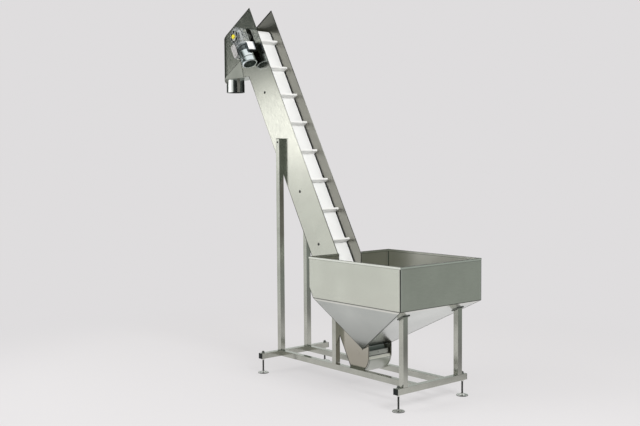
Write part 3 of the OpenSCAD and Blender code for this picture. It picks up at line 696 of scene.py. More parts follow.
def belt_plastic():
    """Belt cover, dark in the shade of the boot."""
    light = tuple(bpy.context.scene.elevator_belt.belt_colour)
    boot_shade = (Z_AXIS, 0.28, 0.08, 0.125, (0.10, 0.125, 0.11))
    return finish("belt cover", tuple(c * 0.95 for c in light), light, 0.0, (0.32, 0.46),
                  (0.2, 0.0003), fineness=900.0, cloud=6.0, coat=0.08, lines=(boot_shade,))


def scoop_plastic():
    light = tuple(bpy.context.scene.elevator_belt.scoop_colour)
    return finish("scoop moulding", tuple(c * 0.96 for c in light), light, 0.0, (0.30, 0.44),
                  (0.15, 0.0003), fineness=700.0, cloud=9.0, coat=0.1)


def bearing_paint():
    return finish("cast bearing", (0.12, 0.15, 0.14), (0.19, 0.22, 0.21), 0.15, (0.45, 0.65),
                  (0.5, 0.0012), fineness=320.0, cloud=14.0)


def gear_paint():
    return finish("cast gear housing", (0.24, 0.26, 0.27), (0.82, 0.84, 0.85), 0.85, (0.18, 0.36),
                  (0.7, 0.0020), fineness=150.0, cloud=34.0, shade=PLATE_SIDE_SHADE)


def pale_cast():
    return finish("pale cast cover", (0.44, 0.43, 0.43), (0.66, 0.64, 0.64), 0.4, (0.28, 0.46),
                  (0.6, 0.0012), fineness=200.0, cloud=22.0, shade=PLATE_SIDE_SHADE)


def motor_paint():
    return finish("cast motor housing", (0.10, 0.12, 0.12), (0.26, 0.29, 0.30), 0.75, (0.20, 0.36),
                  (0.35, 0.0008), fineness=300.0, cloud=13.0, shade=PLATE_SIDE_SHADE)


def fan_sheet():
    return finish("plated fan cover", (0.74, 0.82, 0.86), (0.86, 0.93, 0.96), 1.0, (0.05, 0.12),
                  (0.08, 0.0003), fineness=260.0, cloud=9.0, shade=PLATE_SIDE_SHADE)


def grille_paint():
    return finish("dark grille", (0.05, 0.075, 0.065), (0.12, 0.16, 0.14), 0.6, (0.28, 0.44),
                  (0.2, 0.0004), fineness=300.0, cloud=20.0)


def box_paint():
    return finish("dark box", (0.02, 0.028, 0.032), (0.055, 0.07, 0.078), 0.3, (0.22, 0.36),
                  (0.15, 0.0004), fineness=500.0, cloud=12.0, coat=0.3)


def lid_plastic():
    """White lid with a painted blue-grey reflection that deepens towards the plate."""
    # Painted reflection: blue-grey band along the lid's side by the plate
    side = (Y_AXIS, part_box("terminal_box")[1].y, 0.006, 0.026, (0.05, 0.08, 0.13))
    return finish("white lid", (0.88, 0.89, 0.90), (0.95, 0.95, 0.95), 0.0, (0.22, 0.36),
                  (0.15, 0.0004), fineness=600.0, cloud=12.0, coat=0.3, lines=(side,))


def yellow_plastic():
    return finish("yellow moulding", (0.72, 0.60, 0.02), (0.88, 0.78, 0.05), 0.0, (0.3, 0.45),
                  (0.2, 0.0004), fineness=600.0, cloud=25.0, coat=0.1)


def dark_rubber():
    return finish("dark rubber", (0.02, 0.02, 0.02), (0.04, 0.04, 0.04), 0.0, (0.6, 0.8),
                  (0.4, 0.0004), fineness=800.0, cloud=25.0)


# Settings


def colour_value(label, text, value):
    return bpy.props.FloatVectorProperty(
        name=label, description=text, default=value, size=3, min=0, max=1, subtype="COLOR")


def length_value(label, text, value):
    return bpy.props.FloatProperty(
        name=label, description=text, default=value, min=0, unit="LENGTH", precision=4)


def number_value(label, text, value, least=0, most=1e6):
    return bpy.props.FloatProperty(name=label, description=text, default=value, min=least, max=most)


class StageSettings(bpy.types.PropertyGroup):
    backdrop: colour_value("Backdrop", "Colour of the plain backdrop and floor", (0.737, 0.723, 0.730))
    key_power: number_value("Key light", "Power of the key light in watts", 260.0)
    fill_power: number_value("Fill light", "Power of the fill light in watts", 420.0)
    sky: number_value("Room light", "Strength of the even room light", 0.62)
    floor_glow: number_value("Floor glow", "Share of the floor that no shadow reaches", 0.70, most=1)
    lens: number_value("Lens", "Focal length of the camera in millimetres", 51.62, least=10)


class SteelSettings(bpy.types.PropertyGroup):
    sheet_colour: colour_value("Sheet", "Colour of the satin sheet", (0.625, 0.63, 0.565))
    sheet_roughness: number_value("Sheet roughness", "Gloss of the satin sheet", 0.20, most=1)
    tube_colour: colour_value("Tube", "Colour of the square tubes", (0.52, 0.53, 0.475))
    tube_corner: length_value("Tube corner", "Radius of the corners of the square tubes", 0.008)
    bead: length_value("Weld bead", "Radius of the weld beads", 0.0028)


class BeltSettings(bpy.types.PropertyGroup):
    belt_colour: colour_value("Belt", "Colour of the belt", (0.92, 0.925, 0.915))
    scoop_colour: colour_value("Scoops", "Colour of the scoops", (0.92, 0.92, 0.90))
    scoop_height: length_value("Scoop height", "Height of a scoop above the belt", 0.058)
    scoop_lip: length_value("Scoop lip", "Length of the lip at the tip of a scoop", 0.018)
    scoop_wall: length_value("Scoop wall", "Thickness of a scoop", 0.005)


class HardwareSettings(bpy.types.PropertyGroup):
    bolt: length_value("Plate bolt", "Diameter of the dome-headed plate bolts", 0.016)
    washer: length_value("Washer", "Diameter of the washers under the plate bolts", 0.026)
    thread_pitch: length_value("Thread pitch", "Pitch of the levelling rods", 0.004)
    fins: bpy.props.IntProperty(name="Fins", description="Number of cooling fins round the motor",
                                default=28, min=8)


# Pieces


class ElevatorOperator:
    """Options that all the operators share"""
    bl_options = {"REGISTER", "UNDO"}


class ELEVATOR_OT_stage(ElevatorOperator, bpy.types.Operator):
    """Makes the camera, the floor, the backdrop and the studio light"""
    bl_idname = "elevator.stage"
    bl_label = "Studio"

    def execute(self, context):
        look = context.scene.elevator_stage
        context.scene.view_settings.view_transform = "Standard"
        self.camera(look)
        self.world(look)
        self.floor(look)
        self.lamp("key light", (-2.2, -6.0, 4.6), (0.2, 0, 1.5), 4.0, look.key_power)
        self.lamp("fill light", (7.0, -1.0, 6.0), (0.0, 0, 1.6), 3.0, look.fill_power)
        return {"FINISHED"}

    def camera(self, look):
        """Camera at the angle of view of the picture."""
        yaw, pitch, roll = math.radians(YAW), math.radians(PITCH), math.radians(ROLL)
        ahead = Vector((-math.sin(yaw) * math.cos(pitch), math.cos(yaw) * math.cos(pitch), -math.sin(pitch)))
        right = Vector((math.cos(yaw), math.sin(yaw), 0))
        up = right.cross(ahead)
        right_rolled = right * math.cos(roll) + up * math.sin(roll)
        up_rolled = up * math.cos(roll) - right * math.sin(roll)
        data = bpy.data.cameras.new("camera")
        data.lens = look.lens
        data.sensor_width = 36.0
        data.clip_end = 200.0
        camera = bpy.data.objects.new("camera", data)
        turn = Matrix((right_rolled, up_rolled, -ahead)).transposed()
        camera.matrix_world = Matrix.Translation((SHIFT + EYE[0], EYE[1], EYE[2])) @ turn.to_4x4()
        bpy.context.scene.collection.objects.link(camera)
        bpy.context.scene.camera = camera

    def world(self, look):
        """Pale backdrop, and a room that shows only in the metal."""
        world = bpy.data.worlds.new("studio")
        bpy.context.scene.world = world
        world.use_nodes = True
        tree = world.node_tree
        tree.nodes.clear()
        out = add_node(tree, "ShaderNodeOutputWorld")
        seen = add_node(tree, "ShaderNodeBackground", Color=(*look.backdrop, 1), Strength=1.0)
        lit = add_node(tree, "ShaderNodeBackground", Color=(1, 0.99, 0.97, 1), Strength=look.sky)
        mirrored = add_node(tree, "ShaderNodeBackground")
        rays = add_node(tree, "ShaderNodeLightPath").outputs
        level = self.room(tree, rays["Glossy Depth"])
        tint = blend_colour(tree, level, (0.86, 1.0, 0.92), (1.0, 1.0, 0.99))
        tree.links.new(tint, mirrored.inputs["Color"])
        tree.links.new(level, mirrored.inputs["Strength"])
        unseen = mix(tree, rays["Is Glossy Ray"], lit.outputs[0], mirrored.outputs[0])
        surface = mix(tree, rays["Is Camera Ray"], unseen, seen.outputs[0])
        tree.links.new(surface, out.inputs["Surface"])

    def room(self, tree, depth):
        """Brightness of the mirrored room: bright on the left, dark behind the camera and higher up."""
        direction = add_node(tree, "ShaderNodeTexCoord").outputs["Generated"]
        parts = add_node(tree, "ShaderNodeSeparateXYZ")
        tree.links.new(direction, parts.inputs[0])
        rise = parts.outputs["Z"]
        left, near, across = (facing(tree, direction, way) for way in (TO_LEFT, TO_CAMERA, ACROSS))
        # Walls on the left and right, with the dark behind the camera
        low = combine(tree, "MULTIPLY", ramp(tree, left, (-0.95, 0.55), (0.40, 0.86)),
                      ramp(tree, near, (0.30, 0.70), (1.0, 0.13)))
        # Window on the left, above the level of the eye
        leftward = ramp(tree, left, (0.30, 0.70))
        window = combine(tree, "MULTIPLY", leftward, ramp(tree, rise, (-0.03, 0.03), (0.0, 1.2)))
        low = combine(tree, "ADD", low, window)
        # Dark wall beyond the elevator
        low = combine(tree, "MULTIPLY", low, ramp(tree, near, (-0.62, -0.42), (0.14, 1.0)))
        # Dusk above a line that is higher on the left
        dusk = ramp(tree, left, (-0.2, 0.4), (0.02, 0.057))
        dusk = combine(tree, "ADD", dusk, ramp(tree, across, (-0.16, -0.05), (-0.07, 0.005)))
        beside = combine(tree, "MULTIPLY", leftward, ramp(tree, near, (-0.08, 0.08), (0.0, 0.07)))
        above = combine(tree, "SUBTRACT", rise, combine(tree, "ADD", dusk, beside))
        dark = combine(tree, "MULTIPLY", ramp(tree, above, (0.0, 0.040), (1.0, 0.075)),
                       ramp(tree, rise, (0.11, 0.17), (1.0, 0.35)))
        level = combine(tree, "MULTIPLY", low, dark)
        # Never dark straight ahead, overhead, or where steel is seen in steel
        ahead = ramp(tree, near, (-0.98, -0.90), (0.8, 0.0))
        overhead = ramp(tree, rise, (0.28, 0.7), (0.0, 0.9))
        twice = combine(tree, "MULTIPLY", combine(tree, "GREATER_THAN", depth, 1.5), 0.30)
        for least in (ahead, overhead, twice):
            level = combine(tree, "MAXIMUM", level, least)
        return level

    def floor(self, look):
        """Plain pale floor that keeps the soft shadow and fades into the backdrop."""
        bm = bmesh.new()
        bmesh.ops.create_grid(bm, x_segments=2, y_segments=2, size=60)
        mesh = bpy.data.meshes.new("floor")
        bm.to_mesh(mesh)
        bm.free()
        floor = bpy.data.objects.new("floor", mesh)
        bpy.context.scene.collection.objects.link(floor)
        material = bpy.data.materials.new("pale floor")
        material.use_nodes = True
        tree = material.node_tree
        tree.nodes.clear()
        out = add_node(tree, "ShaderNodeOutputMaterial")
        backdrop = add_node(tree, "ShaderNodeEmission", Color=(*look.backdrop, 1), Strength=1.0)
        glow = add_node(tree, "ShaderNodeEmission", Color=(*look.backdrop, 1), Strength=look.floor_glow)
        black = add_node(tree, "ShaderNodeEmission", Color=(0, 0, 0, 1), Strength=0.0)
        matt = add_node(tree, "ShaderNodeBsdfDiffuse", Color=(0.24, 0.235, 0.237, 1))
        plain = add_node(tree, "ShaderNodeBsdfDiffuse", Color=(0.6, 0.6, 0.6, 1))
        clear = add_node(tree, "ShaderNodeBsdfTransparent")
        shaded = add_node(tree, "ShaderNodeAddShader")
        tree.links.new(glow.outputs[0], shaded.inputs[0])
        tree.links.new(matt.outputs[0], shaded.inputs[1])
        place = add_node(tree, "ShaderNodeTexCoord").outputs["Object"]
        distance = add_node(tree, "ShaderNodeVectorMath", operation="LENGTH")
        tree.links.new(place, distance.inputs[0])
        away = distance.outputs["Value"]
        front = ramp(tree, facing(tree, place, (0.76, 0.64, 0)), (1.4, 2.8), (0.0, 0.6))
        # The floor as the camera sees it, and as the metal mirrors it
        seen = mix(tree, ramp(tree, away, (2.4, 4.6)), shaded.outputs[0], backdrop.outputs[0])
        dimmed = mix(tree, front, shaded.outputs[0], black.outputs[0])
        mirrored = mix(tree, ramp(tree, away, (2.6, 6.0)), dimmed, clear.outputs[0])
        rays = add_node(tree, "ShaderNodeLightPath").outputs
        unseen = mix(tree, rays["Is Glossy Ray"], plain.outputs[0], mirrored)
        surface = mix(tree, rays["Is Camera Ray"], unseen, seen)
        tree.links.new(surface, out.inputs["Surface"])
        mesh.materials.append(material)

    def lamp(self, name, where, aim, size, power):
        """Soft square lamp that isn't mirrored in the metal."""
        data = bpy.data.lights.new(name, "AREA")
        data.energy = power
        data.size = size
        lamp = bpy.data.objects.new(name, data)
        lamp.location = where
        lamp.rotation_euler = (Vector(aim) - Vector(where)).to_track_quat("-Z", "Y").to_euler()
        lamp.visible_glossy = False
        bpy.context.scene.collection.objects.link(lamp)


class ELEVATOR_OT_finishes(ElevatorOperator, bpy.types.Operator):
    """Gives each CAD node its finish"""
    bl_idname = "elevator.finishes"
    bl_label = "Finishes"

    def execute(self, context):
        plain = {
            "frame_steel": tube_steel, "sheet_steel": sheet_steel, "shaft_steel": shaft_steel,
            "foot_metal": plated_steel, "rod_metal": rod_steel, "black_plastic": black_plastic,
            "white_belt": belt_plastic, "white_scoop": scoop_plastic, "bearing_housing": bearing_paint,
            "gear_housing": gear_paint, "motor_housing": motor_paint, "box_paint": box_paint,
            "yellow_plastic": yellow_plastic,
        }
        for part in frame["record"]["subparts"]:
            name = part["node"]
            if name.startswith("hopper"):
                material = wall_sheet()
            elif name.startswith("casing"):
                material = casing_sheet()
            elif name in ("near_slope", "far_slope", "rear_slopes"):
                material = side_slope_sheet()
            elif name == "front_slope":
                material = front_slope_sheet()
            elif name == "discharge_spout":
                material = spout_sheet()
            elif name.startswith("chute"):
                material = chute_sheet()
            elif name == "boot_nose":
                material = boot_sheet()
            else:
                material = plain[part["material_slot"]]()
            mesh = NODES[name].data
            mesh.materials.clear()
            mesh.materials.append(material)
        return {"FINISHED"}


def dome_bolt(bm, place, bolt, washer):
    """Dome-headed bolt with a socket and a washer, standing on the plane z = 0 of place."""
    r, w = bolt / 2, washer / 2
    lathe(bm, [(0, 0), (w, 0), (w, 0.0014), (w * 0.94, 0.0018), (r * 0.9, 0.0018)], place, 28)
    head = [(r, 0.0018), (r, 0.003)]
    head += [(r * math.cos(a), 0.003 + 0.0052 * math.sin(a)) for a in (0.3, 0.6, 0.9, 1.15)]
    head += [(r * 0.34, 0.0080), (r * 0.32, 0.0050), (0, 0.0050)]
    lathe(bm, [(0, 0.0018)] + head, place, 24)


def hex_bolt(bm, place, across, height):
    """Hexagon bolt head with a chamfered top on a washer."""
    lathe(bm, [(0, 0), (across * 0.62, 0), (across * 0.62, 0.0016), (across * 0.5, 0.0018)], place, 24)
    corners = hexagon(across / 2 / math.cos(math.pi / 6))
    prism(bm, corners, height, place @ Matrix.Translation((0, 0, 0.0016)), height * 0.12, 2)


def soften(node, name, radius, material, segments=2):
    """Copy of a CAD node with its edges rounded, which stands for it."""
    part = bmesh.new()
    part.from_mesh(NODES[node].data)
    bmesh.ops.remove_doubles(part, verts=part.verts, dist=1e-6)
    bmesh.ops.dissolve_limit(part, angle_limit=math.radians(1), verts=part.verts, edges=part.edges)
    bm = bmesh.new()
    join(bm, part, Matrix(), radius, segments)
    return finish_piece(name, bm, material, (node,), 40)


class ELEVATOR_OT_tubes(ElevatorOperator, bpy.types.Operator):
    """Gives the square tubes, their caps and the plates on them their rounded edges"""
    bl_idname = "elevator.tubes"
    bl_label = "Tubes and caps"

    def execute(self, context):
        corner = context.scene.elevator_steel.tube_corner
        for node in ("front_cross_tube", "rear_cross_tube", "side_rails", "tall_posts",
                     "front_hopper_posts", "rear_hopper_posts"):
            soften(node, "rounded_" + node, corner, tube_steel(), 3)
        soften("saddle_plates", "rounded_saddle_plates", 0.0012, dark_tube_steel())
        soften("tube_caps", "rounded_tube_caps", 0.0015, black_plastic())
        soften("cleanout_strip", "rounded_cleanout_strip", 0.0012, boot_sheet())
        return {"FINISHED"}


class ELEVATOR_OT_plate_bolts(ElevatorOperator, bpy.types.Operator):
    """Puts the dome-headed bolts of the tie bars on both side plates"""
    bl_idname = "elevator.plate_bolts"
    bl_label = "Plate bolts"

    def execute(self, context):
        sizes = context.scene.elevator_hardware
        bm = bmesh.new()
        for side in (-1, 1):
            for s in TIE_S:
                place = look_along(on_slope(TIE_N, side * CASING_HALF, s), (0, side, 0), (SN, 0, CS))
                dome_bolt(bm, place, sizes.bolt, sizes.washer)
        finish_piece("plate_bolts", bm, dark_bolt())
        bm = bmesh.new()
        low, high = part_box("tall_posts")
        for side, y in ((-1, low.y), (1, high.y)):
            place = look_along(((low.x + high.x) / 2, y, high.z - 0.030), (0, side, 0))
            dome_bolt(bm, place, sizes.bolt * 0.8, sizes.washer * 0.7)
        finish_piece("post_bolts", bm, dark_bolt())
        return {"FINISHED"}


class ELEVATOR_OT_feet(ElevatorOperator, bpy.types.Operator):
    """Builds the levelling feet with threaded rods, nuts and dished pads"""
    bl_idname = "elevator.feet"
    bl_label = "Levelling feet"

    def execute(self, context):
        sizes = context.scene.elevator_hardware
        low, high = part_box("foot_pads")
        radius = PAD_RADIUS
        centres = [(x, y) for x in (low.x + radius, high.x - radius)
                   for y in (low.y + radius, high.y - radius)]
        rod_low, rod_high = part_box("foot_rods")
        nut_low, nut_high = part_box("foot_nuts")
        tube_low, tube_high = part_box("front_cross_tube")
        rods, nuts, pads, soles = bmesh.new(), bmesh.new(), bmesh.new(), bmesh.new()
        domes, seats = bmesh.new(), bmesh.new()
        for x, y in centres:
            place = Matrix.Translation((x, y, 0))
            self.thread(rods, x, y, rod_low.z, rod_high.z, sizes.thread_pitch)
            self.pad(pads, place, radius, high.z)
            lathe(soles, [(radius - 0.006, 0.0003), (radius - 0.0005, 0.0003), (radius, 0.0010),
                          (radius, 0.0052), (radius - 0.006, 0.0052)], place, 48, closed=True)
            self.nut(nuts, Matrix.Translation((x, y, nut_low.z)), tube_low.z - nut_low.z)
            top = Matrix.Translation((x, y, tube_high.z))
            lathe(seats, [(0.009, 0), (0.0165, 0), (0.0165, 0.0022), (0.015, 0.003), (0.009, 0.003)], top, 28,
                  closed=True)
            self.nut(domes, top @ Matrix.Translation((0, 0, 0.0022)), 0.0105)
            dome = [(0.0118 * math.cos(a), 0.011 + (nut_high.z - tube_high.z - 0.011) * math.sin(a))
                    for a in (0, 0.3, 0.6, 0.9, 1.2)]
            lathe(domes, dome + [(0, nut_high.z - tube_high.z)], top, 24)
        finish_piece("threaded_rods", rods, rod_steel(), ("foot_rods",))
        finish_piece("foot_nuts_chamfered", nuts, plated_steel(), ("foot_nuts",))
        finish_piece("foot_dome_nuts", domes, dark_tube_steel())
        finish_piece("foot_washers", seats, plated_steel())
        finish_piece("dished_pads", pads, plated_steel(), ("foot_pads",))
        finish_piece("pad_soles", soles, dark_rubber())
        return {"FINISHED"}

    def thread(self, bm, x, y, z0, z1, pitch):
        """Threaded rod: a helical ridge drawn as rings of a turning profile."""
        steps, depth = 20, 0.0011
        rows = int((z1 - z0) / pitch * 6)
        rings = []
        for row in range(rows + 1):
            z = z0 + (z1 - z0) * row / rows
            ring = []
            for k in range(steps):
                phase = ((z - z0) / pitch - k / steps) % 1.0
                r = ROD_RADIUS - depth * abs(2 * phase - 1)
                a = 2 * math.pi * k / steps
                ring.append(bm.verts.new((x + r * math.cos(a), y + r * math.sin(a), z)))
            rings.append(ring)
        skin(bm, rings)

    def nut(self, bm, place, height):
        """Hexagon nut with chamfered corners."""
        prism(bm, hexagon(NUT_HALF), height, place, 0.0012, 2)

    def pad(self, bm, place, radius, top):
        """Dished pad with a rolled rim and a collar for the rod."""
        profile = [(0, 0.0050), (radius - 0.0008, 0.0050), (radius - 0.0002, 0.0056),
                   (radius - 0.0004, 0.0068), (radius - 0.0018, 0.0080)]
        profile += [(radius * (0.9 - 0.52 * t), 0.0076 + 0.0062 * t * t) for t in (0, 0.3, 0.6, 0.85, 1)]
        profile += [(0.0152, 0.0150), (0.0142, 0.0162), (0.0142, top - 0.001), (0.0132, top), (0, top)]
        lathe(bm, profile, place, 56)


class ELEVATOR_OT_scoops(ElevatorOperator, bpy.types.Operator):
    """Moulds the rounded scoops in the places of the CAD scoops"""
    bl_idname = "elevator.scoops"
    bl_label = "Scoops"

    def execute(self, context):
        sizes = context.scene.elevator_belt
        span = HEAD_S - BOOT_S
        loop = 2 * span + 2 * math.pi * WRAP
        pitch = loop / SCOOPS
        arc = math.pi * WRAP
        groups = {name: bmesh.new() for name in ("scoops_carrying", "scoops_on_drums", "scoops_return")}
        for i in range(SCOOPS):
            along = (FIRST_SCOOP_S - BOOT_S + i * pitch) % loop
            if along < span:
                place = slope_place(BELT_N, 0, BOOT_S + along)
                key = "scoops_carrying"
            elif along < span + arc:
                place = self.round_drum(HEAD_S, (along - span) / WRAP)
                key = "scoops_on_drums"
            elif along < 2 * span + arc:
                place = slope_place(DRUM_N - WRAP, 0, HEAD_S - (along - span - arc))
                place = place @ Matrix.Rotation(math.pi, 4, "Y")
                key = "scoops_return"
            else:
                place = self.round_drum(BOOT_S, math.pi + (along - 2 * span - arc) / WRAP)
                key = "scoops_on_drums"
            self.scoop(groups[key], place, sizes)
        for node, bm in groups.items():
            finish_piece("moulded_" + node, bm, scoop_plastic(), (node,), 50)
        return {"FINISHED"}

    def round_drum(self, s, angle):
        """Frame of a scoop that stands on the belt where it goes round a drum."""
        return slope_place(DRUM_N, 0, s) @ Matrix.Rotation(-angle, 4, "Y") @ Matrix.Translation((WRAP, 0, 0))

    def scoop(self, bm, place, sizes):
        """Shelf with a rounded lip and a filleted root, with flat ends."""
        h, lip, t = sizes.scoop_height, sizes.scoop_lip, sizes.scoop_wall
        bend = 0.009
        inner = bend - t
        outline = [(0.0, -0.0), (h - bend, 0.0)]
        outline += [(h - bend + bend * math.sin(a), bend - bend * math.cos(a)) for a in (0.4, 0.8, 1.2, 1.57)]
        outline += [(h, lip - 0.002), (h - 0.0006, lip - 0.0006), (h - 0.002, lip),
                    (h - t + 0.002, lip), (h - t + 0.0006, lip - 0.0006), (h - t, lip - 0.002)]
        outline += [(h - bend + inner * math.sin(a), bend - inner * math.cos(a))
                    for a in (1.57, 1.0, 0.5, 0.0)]
        outline += [(0.007, t), (0.004, t + 0.0008), (0.0018, t + 0.0028), (0.0006, t + 0.006),
                    (0.0, t + 0.006)]
        turn = Matrix(((1, 0, 0), (0, 0, -1), (0, 1, 0))).to_4x4()
        prism(bm, outline, 2 * BELT_HALF, place @ Matrix.Translation((0, BELT_HALF, 0)) @ turn, 0.0)


class ELEVATOR_OT_drive(ElevatorOperator, bpy.types.Operator):
    """Details the gear unit, the motor, its fan cover and the terminal box"""
    bl_idname = "elevator.drive"
    bl_label = "Gearmotor"

    def execute(self, context):
        sizes = context.scene.elevator_hardware
        fan_low, fan_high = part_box("fan_cover")
        cover_low, cover_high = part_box("shaft_cover")
        motor_y = (fan_low.y + fan_high.y) / 2
        soften("gear_unit", "cast_gear_unit", 0.0025, gear_paint(), 3)
        self.screws(cover_high.y, motor_y)
        self.cover(cover_low.y, cover_high.y)
        self.fan(motor_y, (fan_high.y - fan_low.y) / 2)
        self.motor(motor_y, sizes.fins)
        self.box(motor_y)
        return {"FINISHED"}

    def near_face(self, n, s, y):
        """Frame on a face of the drive that looks away from the casing."""
        return look_along(on_slope(n, y, s), (0, -1, 0), (SN, 0, CS))

    def screws(self, hub_y, motor_y):
        """Cover screws, plugs and flange bolts of the gear unit, its dark lines and its foot block."""
        face_y = hub_y + HUB_STEP
        bright, dark, pale = bmesh.new(), bmesh.new(), bmesh.new()
        for k in range(6):
            a = math.pi / 6 + k * math.pi / 3
            n, s = DRUM_N + HUB_BOLTS * math.cos(a), HEAD_S + HUB_BOLTS * math.sin(a)
            hex_bolt(bright, self.near_face(n, s, hub_y), 0.013, 0.007)
        for n, s in GEAR_SCREWS:
            hex_bolt(bright, self.near_face(n, s, face_y), 0.012, 0.006)
        for depth, s in GEAR_PLUGS:
            place = slope_place(GEAR_FRONT_N, face_y + depth, s) @ Matrix.Rotation(math.pi / 2, 4, "Y")
            hex_bolt(bright, place, 0.018, 0.008)
        self.dark_lines(dark, hub_y, face_y)
        self.foot_block(bright, dark, pale, face_y)
        for k in range(4):
            a = math.pi / 4 + k * math.pi / 2
            place = slope_place(MOTOR_N + FLANGE_BOLTS * math.cos(a), motor_y + FLANGE_BOLTS * math.sin(a),
                                MOTOR_S[2] - 0.001)
            hex_bolt(bright, place @ Matrix.Rotation(math.pi, 4, "Y"), 0.010, 0.005)
        finish_piece("gear_unit_screws", bright, plated_steel())
        finish_piece("gear_unit_dark_lines", dark, black_plastic())
        finish_piece("foot_block_cover", pale, pale_cast())

    def dark_lines(self, dark, hub_y, face_y):
        """Painted shade of a recess round the shaft, under the cover screws, as a flat black ring, and the
        dark parting lines of the housing.
        """
        recess = self.near_face(DRUM_N, HEAD_S, hub_y)
        # Painted shade: a flat black ring for the shaded recess round the shaft
        lathe(dark, [(0.038, 0), (0.0585, 0), (0.0585, 0.0008), (0.038, 0.0008)], recess, 40, closed=True)
        low_n, high_n, shoulder = GEAR_N - GEAR_HALF, GEAR_N + GEAR_HALF, GEAR_ROUND_S - 0.002
        outline = [(low_n, GEAR_LOW_S), (high_n, GEAR_LOW_S), (high_n, shoulder)]
        outline += [(GEAR_N + GEAR_HALF * math.cos(0.2 * k), GEAR_ROUND_S + GEAR_HALF * math.sin(0.2 * k))
                    for k in range(1, 15)]
        outline += [(low_n, shoulder), (low_n, GEAR_LOW_S)]
        middle = (GEAR_LOW_S + GEAR_ROUND_S) / 2
        for depth in (0.026, 0.070):
            path = [on_slope(GEAR_N + (n - GEAR_N) * 1.022, face_y + depth, middle + (s - middle) * 1.012)
                    for n, s in outline]
            sweep(dark, path, 0.0024, 6)

    def foot_block(self, bright, dark, pale, face_y):
        """Rounded cover of the foot block, with its bolts and the stud under it."""
        for y in FOOT_BOLT_Y:
            for s in (FOOT_S - 0.044, FOOT_S + 0.044):
                place = slope_place(FOOT_REAR_N, y, s) @ Matrix.Rotation(-math.pi / 2, 4, "Y")
                hex_bolt(bright, place, 0.014, 0.007)
        half_n, half_s, corner, thick = 0.034, 0.066, 0.018, 0.012
        middle = self.near_face(FOOT_N, FOOT_S, face_y)
        turn = middle.inverted() @ slope_place(FOOT_N, face_y, FOOT_S)
        outline = []
        for quarter, (n_side, s_side) in enumerate(((1, 1), (-1, 1), (-1, -1), (1, -1))):
            for k in range(6):
                a = math.pi / 2 * (quarter + k / 5)
                n = n_side * (half_n - corner) + corner * math.cos(a)
                s = s_side * (half_s - corner) + corner * math.sin(a)
                spot = turn @ Vector((n, 0, s))
                outline.append((spot.x, spot.y))
        prism(pale, outline, thick, middle, 0.003, 3)
        for s in (FOOT_S - 0.048, FOOT_S + 0.048):
            hex_bolt(bright, self.near_face(FOOT_N, s, face_y - thick), 0.011, 0.005)
        stud = self.near_face(STUD_N, STUD_S, -CASING_HALF)
        reach = -CASING_HALF - face_y
        lathe(dark, [(0, 0), (0.006, 0), (0.006, reach), (0, reach)], stud, 20)
        hex_bolt(bright, stud @ Matrix.Translation((0, 0, reach - 0.006)), 0.018, 0.010)

    def cover(self, y0, y1):
        """Yellow cap on a cast ring over the end of the shaft."""
        depth = y1 - y0
        place = self.near_face(DRUM_N, HEAD_S, y1)
        ring, cap = bmesh.new(), bmesh.new()
        lathe(ring, [(0.0215, 0), (0.036, 0), (0.036, depth * 0.24), (0.0345, depth * 0.32),
                     (0.027, depth * 0.34), (0.0255, depth * 0.42), (0.0215, depth * 0.42)],
              place, 40, closed=True)
        lathe(cap, [(0, 0), (0.0213, 0), (0.0213, depth * 0.62), (0.020, depth * 0.80), (0.017, depth * 0.94),
                    (0.012, depth), (0, depth)], place, 40)
        finish_piece("shaft_cover_cap", cap, yellow_plastic(), ("shaft_cover",))
        finish_piece("shaft_cover_ring", ring, plated_steel())

    def fan(self, motor_y, radius):
        """Fan cover with a rounded shoulder, a pressed bead, four small bosses and a grille of rings and
        spokes.
        """
        place = slope_place(MOTOR_N, motor_y, MOTOR_S[0])
        length = MOTOR_S[1] - MOTOR_S[0]
        bm, grille = bmesh.new(), bmesh.new()
        lathe(bm, [(radius - 0.013, 0.0006), (radius - 0.008, 0), (radius - 0.0035, 0.0012),
                   (radius - 0.001, 0.0038), (radius - 0.0002, 0.008), (radius - 0.0002, length - 0.014),
                   (radius - 0.0016, length - 0.013), (radius - 0.0016, length - 0.010),
                   (radius - 0.0002, length - 0.009), (radius, length), (radius - 0.0022, length),
                   (radius - 0.0030, 0.009), (radius - 0.013, 0.0035)], place, 72, closed=True)
        for ring in range(7):
            r = 0.008 + ring * (radius - 0.014 - 0.008) / 6
            turns = [2 * math.pi * k / 40 for k in range(41)]
            circle = [place @ Vector((r * math.cos(a), r * math.sin(a), 0.003)) for a in turns]
            sweep(grille, circle, 0.0011, 6)
        for k in range(8):
            a = math.pi * k / 4
            arm = Vector((math.cos(a), math.sin(a), 0))
            spoke = [place @ (arm * r + Vector((0, 0, 0.0045))) for r in (0.004, radius - 0.008)]
            sweep(grille, spoke, 0.0016, 6)
        for k in range(4):
            a = math.pi / 4 + k * math.pi / 2
            side = place @ Matrix.Rotation(a, 4, "Z")
            side = side @ Matrix.Translation((radius - 0.0025, 0, length - 0.006))
            lathe(bm, [(0, 0), (0.0035, 0), (0.0035, 0.0018), (0.002, 0.0024), (0, 0.0024)],
                  side @ Matrix.Rotation(math.pi / 2, 4, "Y"), 12)
        lathe(grille, [(0, 0.001), (0.008, 0.001), (0.009, 0.003), (0.009, 0.006), (0, 0.006)], place, 20)
        finish_piece("plated_fan_cover", bm, fan_sheet(), ("fan_cover",))
        finish_piece("fan_grille", grille, grille_paint())
        wheel = bmesh.new()
        lathe(wheel, [(0, 0.012), (radius - 0.006, 0.012), (radius - 0.006, 0.014), (0, 0.014)], place, 40)
        lathe(wheel, [(0, 0.014), (0.014, 0.014), (0.012, length), (0, length)], place, 20)
        for k in range(9):
            blade = place @ Matrix.Rotation(2 * math.pi * k / 9, 4, "Z")
            block(wheel, (0.012, -0.001, 0.008), (radius - 0.010, 0.001, 0.034), blade, 0.0004, 1)
